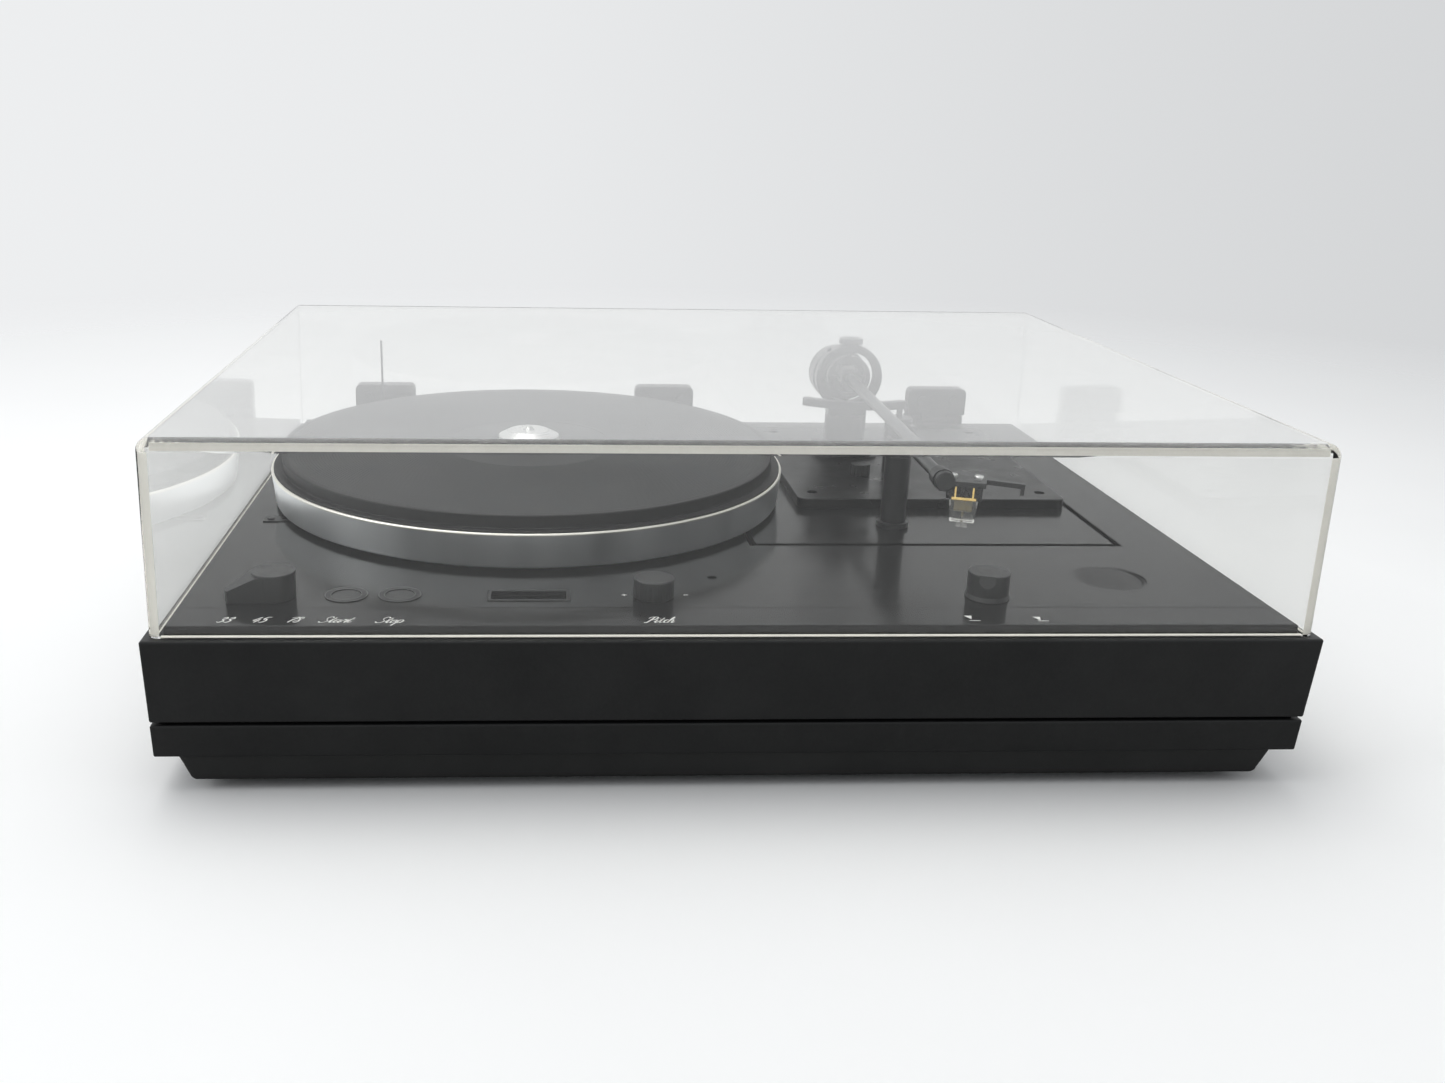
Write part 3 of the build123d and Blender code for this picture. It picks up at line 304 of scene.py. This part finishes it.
def clear_plastic(name, tint, rough, haze, ior=1.49, film=0.0):
    """Clear moulded or bent acrylic. Shadow rays pass, so that what is inside is lit."""
    m = Mat(name)
    smear = m.noise(7.0, 5, 0.62, distortion=0.6)
    fine = m.noise(420.0, 2, 0.7)
    m.color(m.ramp(smear, [(0.35, tint), (0.75, tuple(min(1.0, c * 1.006) for c in tint))]))
    m.roughness(m.span(smear, rough, rough + haze, 0.45, 0.8))
    m.set(trans=1.0, ior=ior)
    if film == 0.0:
        m.bump(fine, 0.02, 0.00001)
    surface = m.b.outputs[0]
    if film > 0.0:
        # fine dust and wear on the upper face
        top = m.span(m.height(), 0.0, 1.0, CAD_BOX[1].z - 0.0012, CAD_BOX[1].z - 0.0002)
        amount = m.math("MULTIPLY", top, m.span(smear, film * 0.8, film * 1.2, 0.3, 0.7))
        df = m.node("ShaderNodeBsdfDiffuse")
        m.link(m.ramp(fine, [(0.3, (0.86, 0.86, 0.85)), (0.7, (0.93, 0.93, 0.92))]), df.inputs[0])
        fx = m.node("ShaderNodeMixShader")
        m.link(amount, fx.inputs[0])
        m.link(m.b.outputs[0], fx.inputs[1])
        m.link(df.outputs[0], fx.inputs[2])
        surface = fx.outputs[0]
    tr = m.node("ShaderNodeBsdfTransparent")
    tr.inputs[0].default_value = (0.93, 0.935, 0.925, 1)
    lp = m.node("ShaderNodeLightPath")
    mx = m.node("ShaderNodeMixShader")
    m.link(lp.outputs["Is Shadow Ray"], mx.inputs[0])
    m.link(surface, mx.inputs[1])
    m.link(tr.outputs[0], mx.inputs[2])
    m.link(mx.outputs[0], m.out.inputs["Surface"])
    return m


cover_m = clear_plastic("cover_acrylic", (0.992, 0.994, 0.986), 0.0, 0.004, film=0.12)
window_m = clear_plastic("window_clear", (0.55, 0.56, 0.56), 0.02, 0.03)
guard_m = clear_plastic("guard_clear", (0.97, 0.965, 0.93), 0.0, 0.01)
screw_m = metal("cartridge_screw", (0.82, 0.82, 0.81), (0.92, 0.92, 0.91), 0.24, 0.34, stretch=(900, 900, 900), bump=0.05)

# platter mat: ribbed rubber, painted lighter grey on the ribbed top as painted sheen and near-black on the outer lip as
# painted shade
mat_m = Mat("mat_rubber")
mr = mat_m.radius(PLX, PLY)
mat_mottle = mat_m.noise(26.0, 4, 0.6)
fine = mat_m.noise(1.0, 2, 0.6, vec=mat_m.stretch(900, 900, 900))
inside = mat_m.span(mr, 1.0, 0.0, 0.1495, 0.1510)
# painted sheen: the ribbed top is coloured a lighter mottled grey
painted_sheen_top = mat_m.ramp(mat_m.math("ADD", mat_m.math("MULTIPLY", mat_mottle, 0.6), mat_m.math("MULTIPLY", fine, 0.4)), [(0.35, (0.036, 0.037, 0.038)), (0.65, (0.052, 0.053, 0.054))])
# painted shade: the outer lip is coloured near-black
lip = mat_m.ramp(fine, [(0.3, (0.007, 0.007, 0.0073)), (0.7, (0.013, 0.013, 0.0135))])
mat_m.color(mat_m.mix(inside, lip, painted_sheen_top))
mat_m.roughness(mat_m.span(inside, 0.55, 0.62))
mat_m.set(spec=0.5)
mat_m.bump(fine, 0.3, 0.00008)

LOOK = {
    "plinth_upper": plinth_m, "plinth_lower": plinth_m, "plinth_joint_strip": shadow_m, "base_tray": tray_m, "feet": rubber_m,
    "deck_plate": deck_m, "front_strip": strip_m, "control_bezels": bezel_m, "strobe_window": window_m, "accessory_pin": tab_m,
    "earthing_tab": tab_m, "rubber_mounts": rubber_m, "motor": steel_m, "drive_belt": rubber_m, "suspension_posts": steel_m,
    "suspension_springs": spring_m, "control_mechanisms": fixture_m, "control_board": board_green_m, "transformer": trafo_m,
    "connector_plate": socket_m, "rear_contacts": contact_m, "hinge_brackets": hinge_m, "chassis_fasteners": chrome_m,
    "subchassis": chassis_m, "bearing_housing": steel_m, "armboard": deck_m, "arm_board_top": board_m, "arm_column": arm_black_m,
    "arm_fasteners": arm_black_m, "bearing_ring": arm_black_m, "arm_rest": arm_black_m, "lift_cylinder": arm_black_m,
    "platter": platter_m, "platter_mat": mat_m, "inner_platter": inner_m, "spindle": spindle_m, "single_adapter": adapter_m,
    "motor_pulley": pulley_m, "gimbal_ring": arm_black_m, "arm_tube": tube_m, "arm_block": arm_black_m, "headshell": shell_m,
    "headshell_screws": screw_m, "finger_lift": shell_m, "cartridge_body": cart_m, "cartridge_plate": gold_m,
    "stylus_assembly": stylus_m, "stylus_guard": guard_m, "counterweight": weight_m, "cue_knob": knob_m, "lift_bar": arm_black_m,
    "antiskate_knob": knob_m, "speed_knob": knob_m, "pitch_knob": knob_m, "start_button": button_m, "stop_button": button_m,
    "dust_cover": cover_m, "hinge_leaves": hinge_m, "cover_screws": hinge_m,
}
for name, obj in NODES.items():
    look = LOOK[name].m
    if not obj.data.materials:
        obj.data.materials.append(look)
    for i in range(len(obj.data.materials)):
        obj.data.materials[i] = look


# ------------------------------------------------------------------ geometry helpers
def mesh_object(name, verts, faces, material, body, smooth=False):
    me = bpy.data.meshes.new(name)
    me.from_pydata([tuple(v) for v in verts], [], faces)
    me.validate()
    me.update()
    o = bpy.data.objects.new(name, me)
    bpy.context.scene.collection.objects.link(o)
    me.materials.append(material.m)
    if smooth:
        for p in me.polygons:
            p.use_smooth = True
    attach(o, body)
    return o


def lathe(profile, cx, cy, n=256):
    """Closed ring profile [(r, z), ...] turned about the vertical axis through cx, cy."""
    verts, faces = [], []
    k = len(profile)
    for i in range(n):
        a = 2 * math.pi * i / n
        c, s = math.cos(a), math.sin(a)
        verts += [(cx + r * c, cy + r * s, z) for r, z in profile]
    for i in range(n):
        j = (i + 1) % n
        for q in range(k):
            w = (q + 1) % k
            faces.append((i * k + q, j * k + q, j * k + w, i * k + w))
    return verts, faces


def tube(points, r, n=10, close=True):
    """Round rod along a smooth line of points."""
    verts, faces = [], []
    up = Vector((0, 0, 1))
    for i, p in enumerate(points):
        p = Vector(p)
        a = Vector(points[max(0, i - 1)])
        b = Vector(points[min(len(points) - 1, i + 1)])
        t = (b - a).normalized()
        side = t.cross(up)
        if side.length < 1e-4:
            side = Vector((1, 0, 0))
        side.normalize()
        nrm = side.cross(t).normalized()
        for j in range(n):
            g = 2 * math.pi * j / n
            verts.append(p + side * (r * math.cos(g)) + nrm * (r * math.sin(g)))
    m = len(points)
    for i in range(m - 1):
        for j in range(n):
            k = (j + 1) % n
            faces.append((i * n + j, i * n + k, (i + 1) * n + k, (i + 1) * n + j))
    if close:
        faces.append(tuple(range(n))[::-1])
        faces.append(tuple((m - 1) * n + j for j in range(n)))
    return verts, faces


def spline(pts, per=8):
    """Catmull-Rom through the points, any dimension."""
    if len(pts) < 3:
        out = []
        for i in range(per + 1):
            t = i / per
            out.append(tuple(a + (b - a) * t for a, b in zip(pts[0], pts[-1])))
        return out
    P = [pts[0]] + list(pts) + [pts[-1]]
    out = []
    for i in range(1, len(P) - 2):
        for s in range(per):
            t = s / per
            out.append(tuple(0.5 * (2 * b + (c - a) * t + (2 * a - 5 * b + 4 * c - d) * t * t + (-a + 3 * b - 3 * c + d) * t ** 3)
                             for a, b, c, d in zip(P[i - 1], P[i], P[i + 1], P[i + 2])))
    out.append(tuple(pts[-1]))
    return out


# ------------------------------------------------------------------ platter mat with real ribs
lo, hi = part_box("platter_mat")
MAT_R = (hi.x - lo.x) / 2
Z0, Z1 = lo.z, hi.z
DISC_R, TABLE_R, UNDER = 0.1533, 0.1512, Z0 + 0.0053
prof = [(0.0044, UNDER), (TABLE_R, UNDER), (TABLE_R, Z0 + 0.00002), (MAT_R - 0.0001, Z0 + 0.00002), (MAT_R - 0.0001, Z0 + 0.0013), (MAT_R - 0.0004, Z0 + 0.0016)]
prof += [(DISC_R + 0.0004, Z0 + 0.0016), (DISC_R, Z0 + 0.0020), (DISC_R, Z1 - 0.0007), (DISC_R - 0.0002, Z1 - 0.0002), (DISC_R - 0.0007, Z1)]
prof += [(0.1502, Z1), (0.1499, Z1 - 0.0003), (0.1492, Z1 - 0.0003), (0.1489, Z1 - 0.0001)]
r = 0.1484
while r > 0.0535:
    prof += [(r, Z1), (r - 0.0012, Z1), (r - 0.0013, Z1 - 0.00018), (r - 0.0017, Z1 - 0.00018)]
    r -= 0.0018
prof += [(0.0530, Z1), (0.0502, Z1), (0.0499, Z1 - 0.0003), (0.0044, Z1 - 0.0003)]
v, f = lathe(prof, PLX, PLY, 224)
ribs = mesh_object("mat_ribbed", v, f, mat_m, "platter_group")
bm = bmesh.new()
bm.from_mesh(ribs.data)
bmesh.ops.recalc_face_normals(bm, faces=bm.faces)
bm.to_mesh(ribs.data)
bm.free()
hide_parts("platter_mat")

# ------------------------------------------------------------------ pale bands at the cemented joints inside the cover's edges, a painted highlight for light carried along the acrylic edges
joint_highlight_m = painted("cover_joint_highlight", (0.88, 0.86, 0.79), (0.96, 0.94, 0.87), 0.5, 0.65, grain=700, blotch=60, bump=0.2)
CLO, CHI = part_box("dust_cover")
CXB, CXT = CHI.x, CHI.x - 0.0015                # half width at the bottom and near the top
CYB, CYT = CLO.y, CLO.y + 0.0011                # front face at the bottom and near the top
CBK = CHI.y
WALL = 0.0048


def bar(corners_a, corners_b):
    """Six-sided bar between two four-cornered ends."""
    v = list(corners_a) + list(corners_b)
    f = [(0, 1, 2, 3), (7, 6, 5, 4)] + [(i, i + 4, (i + 1) % 4 + 4, (i + 1) % 4) for i in range(4)]
    return v, f


def add_bars(name, bars, material, body):
    verts, faces = [], []
    for v, f in bars:
        k = len(verts)
        verts += v
        faces += [tuple(i + k for i in q) for q in f]
    o = mesh_object(name, verts, faces, material, body)
    b = bmesh.new()
    b.from_mesh(o.data)
    bmesh.ops.recalc_face_normals(b, faces=b.faces)
    b.to_mesh(o.data)
    b.free()
    return o


ZB, ZT = CLO.z + 0.0008, CHI.z - 0.0062
bars = []
for sg in (-1, 1):
    def end(x, y, z):
        return [(sg * (x - 0.0058), y + 0.0020, z), (sg * (x - 0.0018), y + 0.0026, z), (sg * (x - 0.0018), y + 0.0030, z), (sg * (x - 0.0058), y + 0.0024, z)]
    bars.append(bar(end(CXB, CYB, ZB), end(CXT, CYT, ZT)))
zt = CHI.z
bars.append(bar([(-CXT + 0.007, CYT + 0.0024, zt - 0.0056), (-CXT + 0.007, CYT + 0.0024, zt - 0.0020), (-CXT + 0.007, CYT + 0.0027, zt - 0.0020), (-CXT + 0.007, CYT + 0.0027, zt - 0.0056)],
                [(CXT - 0.007, CYT + 0.0024, zt - 0.0056), (CXT - 0.007, CYT + 0.0024, zt - 0.0020), (CXT - 0.007, CYT + 0.0027, zt - 0.0020), (CXT - 0.007, CYT + 0.0027, zt - 0.0056)]))
# sawn bottom edges of the front, left and right walls, painted pale as a highlight for light glowing in the acrylic
zb0, zb1 = CLO.z + 0.0003, CLO.z + 0.0006


def flat_bar(x0, x1, y0, y1):
    return bar([(x0, y0, zb0), (x1, y0, zb0), (x1, y1, zb0), (x0, y1, zb0)], [(x0, y0, zb1), (x1, y0, zb1), (x1, y1, zb1), (x0, y1, zb1)])


bars.append(flat_bar(-CXB + 0.0064, CXB - 0.0064, CYB + 0.0005, CYB + WALL - 0.0005))
for sg in (-1, 1):
    xa, xb = sorted((sg * (CXB - 0.0005), sg * (CXB - WALL + 0.0005)))
    bars.append(flat_bar(xa, xb, CYB + 0.0064, CBK - 0.0064))
add_bars("cover_edge_highlight_bands", bars, joint_highlight_m, "lid")

# ------------------------------------------------------------------ bright worn edges of the two button rings
edge_m = metal("ring_edge", (0.20, 0.20, 0.20), (0.34, 0.34, 0.33), 0.3, 0.42, stretch=(600, 600, 600))
for label, node in (("start", "start_button"), ("stop", "stop_button")):
    blo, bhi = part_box(node)
    bx, by = (blo.x + bhi.x) / 2, (blo.y + bhi.y) / 2
    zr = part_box("control_bezels")[1].z
    for k, rr in enumerate((0.01055, 0.00775)):
        v, f = lathe([(rr - 0.00014, zr - 0.00004), (rr + 0.00014, zr - 0.00004), (rr + 0.00010, zr + 0.00003), (rr - 0.00010, zr + 0.00003)], bx, by, 96)
        mesh_object("ring_edge_%s_%d" % (label, k), v, f, edge_m, "plinth")

# ------------------------------------------------------------------ lettering on the deck, generic words and numbers only
GLYPH = {
    "S": (0.95, [[(-0.25, 0.42), (-0.1, 0.12), (0.22, 0.0), (0.62, 0.22), (0.68, 0.72), (0.36, 1.16), (0.28, 1.6), (0.55, 1.98), (0.88, 1.92), (0.92, 1.62)]]),
    "P": (1.05, [[(0.62, 1.9), (0.42, 1.0), (0.18, 0.12), (-0.1, -0.02), (-0.2, 0.22)], [(-0.05, 1.42), (0.08, 1.84), (0.62, 2.02), (1.1, 1.8), (0.98, 1.22), (0.5, 0.94), (0.3, 1.06)]]),
    "t": (0.62, [[(-0.05, 0.3), (0.34, 1.2), (0.42, 1.72), (0.26, 0.5), (0.36, 0.02), (0.72, 0.34)], [(0.02, 1.12), (0.68, 1.2)]]),
    "a": (0.98, [[(0.74, 0.88), (0.44, 1.04), (0.12, 0.55), (0.28, 0.02), (0.6, 0.36), (0.8, 0.98), (0.7, 0.28), (0.86, 0.0), (1.12, 0.34)]]),
    "r": (0.72, [[(-0.05, 0.3), (0.2, 0.86), (0.3, 1.14), (0.42, 0.88), (0.7, 0.96), (0.58, 0.4), (0.64, 0.02), (0.9, 0.32)]]),
    "o": (0.78, [[(0.5, 1.02), (0.14, 0.62), (0.26, 0.02), (0.66, 0.4), (0.56, 1.0), (0.7, 0.84), (0.95, 0.86)]]),
    "p": (0.9, [[(-0.05, 0.3), (0.28, 1.04), (0.14, 0.0), (-0.02, -0.95)], [(0.2, 0.5), (0.54, 1.04), (0.82, 0.6), (0.56, 0.0), (0.26, 0.16)]]),
    "i": (0.5, [[(-0.05, 0.3), (0.24, 1.02), (0.14, 0.24), (0.3, 0.0), (0.56, 0.34)], [(0.34, 1.46), (0.40, 1.58)]]),
    "c": (0.66, [[(0.62, 0.86), (0.42, 1.04), (0.12, 0.52), (0.32, 0.0), (0.74, 0.34)]]),
    "h": (0.86, [[(-0.05, 0.3), (0.42, 1.5), (0.42, 2.0), (0.26, 1.7), (0.12, 0.9), (0.04, 0.0)], [(0.1, 0.5), (0.46, 1.04), (0.6, 0.72), (0.52, 0.14), (0.68, 0.0), (0.9, 0.34)]]),
    "3": (0.98, [[(0.1, 1.6), (0.42, 1.96), (0.76, 1.62), (0.36, 1.08), (0.76, 0.66), (0.4, 0.0), (-0.04, 0.34)]]),
    "4": (1.0, [[(0.62, 1.96), (0.3, 1.3), (0.02, 0.7), (0.92, 0.72)], [(0.72, 1.3), (0.5, -0.06)]]),
    "5": (0.98, [[(0.95, 1.94), (0.42, 1.9), (0.22, 1.16), (0.64, 1.18), (0.78, 0.6), (0.4, 0.0), (-0.04, 0.3)]]),
    "7": (0.92, [[(0.08, 1.66), (0.3, 1.9), (0.96, 1.92), (0.5, 0.96), (0.34, 0.0)]]),
    "8": (0.96, [[(0.8, 1.72), (0.5, 1.98), (0.26, 1.6), (0.56, 1.06), (0.66, 0.4), (0.32, 0.0), (0.02, 0.42), (0.46, 1.0), (0.78, 1.5), (0.8, 1.72)]]),
    "+": (1.0, [[(0.1, 0.9), (0.9, 0.9)], [(0.5, 0.5), (0.5, 1.3)]]),
    "-": (1.0, [[(0.15, 0.9), (0.85, 0.9)]]),
}
DECK_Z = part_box("deck_plate")[1].z


def ribbon(verts, faces, line, w0, w1, z, t):
    """Flat pen stroke with square ends: thick going down, thin going up."""
    base = len(verts)
    n = len(line)
    for i, (x, y) in enumerate(line):
        ax, ay = line[max(0, i - 1)]
        bx, by = line[min(n - 1, i + 1)]
        dx, dy = bx - ax, by - ay
        L = math.hypot(dx, dy) or 1e-9
        dx, dy = dx / L, dy / L
        w = w0 + (w1 - w0) * max(0.0, -dy) ** 0.8
        if i in (0, n - 1):
            w *= 0.7
        px, py = -dy * w / 2, dx * w / 2
        verts += [(x + px, y + py, z), (x - px, y - py, z), (x + px, y + py, z + t), (x - px, y - py, z + t)]
    for i in range(n - 1):
        a, b = base + 4 * i, base + 4 * (i + 1)
        faces += [(a + 2, a + 3, b + 3, b + 2), (a, b, b + 1, a + 1), (a, a + 2, b + 2, b), (a + 1, b + 1, b + 3, a + 3)]
    e = base + 4 * (n - 1)
    faces += [(base, base + 1, base + 3, base + 2), (e, e + 2, e + 3, e + 1)]


def word(name, text, cx, cy, unit, slant=0.42, w0=0.00034, w1=0.00072, stretch=1.0):
    """Handwritten-style legend centred on cx, cy."""
    verts, faces = [], []
    total = sum(GLYPH[c][0] for c in text)
    x = -total / 2
    for k, ch in enumerate(text):
        adv, strokes = GLYPH[ch]
        for st in strokes:
            line = [((x + px) * unit * stretch + slant * py * unit, (py - 0.9) * unit) for px, py in st]
            line = spline(line, 7)
            ribbon(verts, faces, [(cx + a - slant * 0.9 * unit, cy + b) for a, b in line], w0, w1, DECK_Z + 0.00001, 0.00006)
        x += adv
    return mesh_object(name, verts, faces, ink_m, "plinth")


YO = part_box("plinth_upper")[0].y - (-0.217)      # plinth drawing y to row y
word("legend_33", "33", -0.2476, -0.2000 + YO, 0.0034)
word("legend_45", "45", -0.2312, -0.2000 + YO, 0.0034)
word("legend_78", "78", -0.2149, -0.2000 + YO, 0.0034)
word("legend_start", "Start", -0.1946, -0.2000 + YO, 0.0037)
word("legend_stop", "Stop", -0.1687, -0.2005 + YO, 0.0037)
word("legend_pitch", "Pitch", -0.0387, -0.2008 + YO, 0.0037)
word("legend_plus", "+", -0.0548, -0.1660 + YO, 0.0036, slant=0.0, w0=0.0005, w1=0.0005)
word("legend_minus", "-", -0.0232, -0.1660 + YO, 0.0036, slant=0.0, w0=0.0005, w1=0.0005)


def cue_mark(name, cx, cy, gap):
    """Generic arm-lift mark: a triangle over a line, apart for up and touching for down."""
    z, t = DECK_Z + 0.00001, 0.00006
    verts, faces = [], []
    tri = [(-0.0021, 0.0030), (0.0017, 0.0030), (0.0003, -0.0016)]
    for k in (z, z + t):
        verts += [(cx + x, cy + y + gap, k) for x, y in tri]
    faces += [(0, 2, 1), (3, 4, 5), (0, 1, 4, 3), (1, 2, 5, 4), (2, 0, 3, 5)]
    ribbon(verts, faces, [(cx - 0.0014, cy - 0.0024), (cx + 0.0014, cy - 0.0024), (cx + 0.0042, cy - 0.0024)], 0.0006, 0.0006, z, t)
    return mesh_object(name, verts, faces, ink_m, "plinth")


cue_mark("legend_arm_up", 0.1140, -0.1995 + YO, 0.0011)
cue_mark("legend_arm_down", 0.1480, -0.2000 + YO, 0.0)

# ------------------------------------------------------------------ camera
CAM = Vector((-0.10047, -0.806785, 0.325526))
YAW, PITCH, ROLL = math.radians(3.083), math.radians(-18.2), math.radians(1.061)
fwd = Vector((math.sin(YAW) * math.cos(PITCH), math.cos(YAW) * math.cos(PITCH), math.sin(PITCH)))
right = Vector((math.cos(YAW), -math.sin(YAW), 0))
up = right.cross(fwd)
r2 = right * math.cos(ROLL) + up * math.sin(ROLL)
u2 = -right * math.sin(ROLL) + up * math.cos(ROLL)
cam = bpy.data.cameras.new("camera")
cam.sensor_fit = "HORIZONTAL"
cam.sensor_width = 36.0
cam.lens = 1330.112 / 1445 * 36.0
cam.shift_x = (722.5 - 602.614) / 1445
cam.clip_start, cam.clip_end = 0.01, 60
co = bpy.data.objects.new("camera", cam)
co.matrix_world = Matrix(((r2.x, u2.x, -fwd.x, CAM.x), (r2.y, u2.y, -fwd.y, CAM.y), (r2.z, u2.z, -fwd.z, CAM.z), (0, 0, 0, 1)))
bpy.context.scene.collection.objects.link(co)
bpy.context.scene.camera = co

# ------------------------------------------------------------------ pale floor that runs out into the backdrop
FLOOR_R = 7.0
verts, faces = [(0, 0, 0)], []
rings, seg = [0.3, 0.6, 1.0, 1.5, 2.2, 3.2, 4.6, FLOOR_R], 96
for rr in rings:
    verts += [(rr * math.cos(2 * math.pi * i / seg), rr * math.sin(2 * math.pi * i / seg), 0) for i in range(seg)]
for i in range(seg):
    faces.append((0, 1 + i, 1 + (i + 1) % seg))
for k in range(len(rings) - 1):
    for i in range(seg):
        a, b = 1 + k * seg + i, 1 + k * seg + (i + 1) % seg
        faces.append((a, a + seg, b + seg, b))
me = bpy.data.meshes.new("floor")
me.from_pydata(verts, [], faces)
floor = bpy.data.objects.new("floor", me)
bpy.context.scene.collection.objects.link(floor)
fm = Mat("floor_pale")
fr = fm.radius(0, 0)
soft = fm.noise(3.0, 3, 0.5)
fm.color(fm.ramp(soft, [(0.3, (0.93, 0.935, 0.935)), (0.7, (0.95, 0.955, 0.955))]))
fm.set(rough=0.9, spec=0.2)
# painted shade: glossy rays that are not transmission rays see this dim grey copy of the floor instead of the pale
# floor
dim = fm.node("ShaderNodeBsdfDiffuse")
fm.link(fm.ramp(soft, [(0.3, (0.20, 0.20, 0.20)), (0.7, (0.24, 0.24, 0.24))]), dim.inputs[0])
flp = fm.node("ShaderNodeLightPath")
fgl = fm.node("ShaderNodeMixShader")
fm.link(fm.math("MAXIMUM", fm.math("SUBTRACT", flp.outputs["Is Glossy Ray"], flp.outputs["Is Transmission Ray"]), 0.0), fgl.inputs[0])
fm.link(fm.b.outputs[0], fgl.inputs[1])
fm.link(dim.outputs[0], fgl.inputs[2])
ftr = fm.node("ShaderNodeBsdfTransparent")
fmx = fm.node("ShaderNodeMixShader")
fm.link(fm.span(fr, 0.0, 1.0, 0.55, 1.7), fmx.inputs[0])
fm.link(fgl.outputs[0], fmx.inputs[1])
fm.link(ftr.outputs[0], fmx.inputs[2])
fm.link(fmx.outputs[0], fm.out.inputs["Surface"])
me.materials.append(fm.m)
floor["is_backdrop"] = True

# ------------------------------------------------------------------ world and lights
sc = bpy.context.scene
sc.view_settings.view_transform = "Standard"
sc.cycles.max_bounces = 24
sc.cycles.glossy_bounces = 16
sc.cycles.transmission_bounces = 20
sc.cycles.transparent_max_bounces = 16
world = bpy.data.worlds.new("studio")
bpy.context.scene.world = world
world.use_nodes = True
wt = world.node_tree
wt.nodes.clear()
wo = wt.nodes.new("ShaderNodeOutputWorld")
bg_seen = wt.nodes.new("ShaderNodeBackground")
bg_lit = wt.nodes.new("ShaderNodeBackground")
bg_seen.inputs["Color"].default_value = (0.80, 0.81, 0.82, 1)
bg_seen.inputs["Strength"].default_value = 1.0
tc = wt.nodes.new("ShaderNodeTexCoord")
sep = wt.nodes.new("ShaderNodeSeparateXYZ")
wt.links.new(tc.outputs["Generated"], sep.inputs[0])
side = wt.nodes.new("ShaderNodeMapRange")
side.inputs["From Min"].default_value = -0.36
side.inputs["From Max"].default_value = 0.57
wt.links.new(sep.outputs["X"], side.inputs["Value"])
seen = wt.nodes.new("ShaderNodeValToRGB")
wt.links.new(side.outputs[0], seen.inputs[0])
se = seen.color_ramp.elements
se[0].position, se[0].color = 0.0, (0.85, 0.86, 0.87, 1)
se[1].position, se[1].color = 1.0, (0.66, 0.67, 0.68, 1)
sm = se.new(0.39)
sm.color = (0.81, 0.82, 0.83, 1)
wt.links.new(seen.outputs[0], bg_seen.inputs["Color"])
rmp = wt.nodes.new("ShaderNodeValToRGB")
mr2 = wt.nodes.new("ShaderNodeMapRange")
mr2.inputs["From Min"].default_value = -1.0
mr2.inputs["From Max"].default_value = 1.0
wt.links.new(sep.outputs["Y"], mr2.inputs["Value"])
wt.links.new(mr2.outputs[0], rmp.inputs[0])
e = rmp.color_ramp.elements
e[0].position, e[0].color = 0.05, (0.30, 0.31, 0.32, 1)
e[1].position, e[1].color = 0.62, (0.82, 0.83, 0.84, 1)
wt.links.new(rmp.outputs[0], bg_lit.inputs["Color"])
bg_lit.inputs["Strength"].default_value = 1.0
lp = wt.nodes.new("ShaderNodeLightPath")
mx = wt.nodes.new("ShaderNodeMath")
mx.operation = "MAXIMUM"
wt.links.new(lp.outputs["Is Camera Ray"], mx.inputs[0])
wt.links.new(lp.outputs["Is Transmission Ray"], mx.inputs[1])
ms = wt.nodes.new("ShaderNodeMixShader")
wt.links.new(mx.outputs[0], ms.inputs[0])
wt.links.new(bg_lit.outputs[0], ms.inputs[1])
wt.links.new(bg_seen.outputs[0], ms.inputs[2])
wt.links.new(ms.outputs[0], wo.inputs["Surface"])


def area(name, loc, target, sx, sy, power, colour=(1, 1, 1)):
    L = bpy.data.lights.new(name, "AREA")
    L.shape = "RECTANGLE"
    L.size, L.size_y = sx, sy
    L.energy = power
    L.color = colour
    o = bpy.data.objects.new(name, L)
    o.location = loc
    d = (Vector(target) - Vector(loc)).normalized()
    o.rotation_euler = d.to_track_quat("-Z", "Y").to_euler()
    bpy.context.scene.collection.objects.link(o)
    return o


key = area("key_top", (-0.5, 0.3, 2.4), (0, 0, 0), 2.2, 1.8, 26, (1, 0.99, 0.98))
key.visible_glossy = False
area("fill_left", (-2.2, -0.6, 1.3), (0, 0, 0.1), 1.2, 1.4, 10, (0.98, 0.99, 1))

lo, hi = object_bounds()
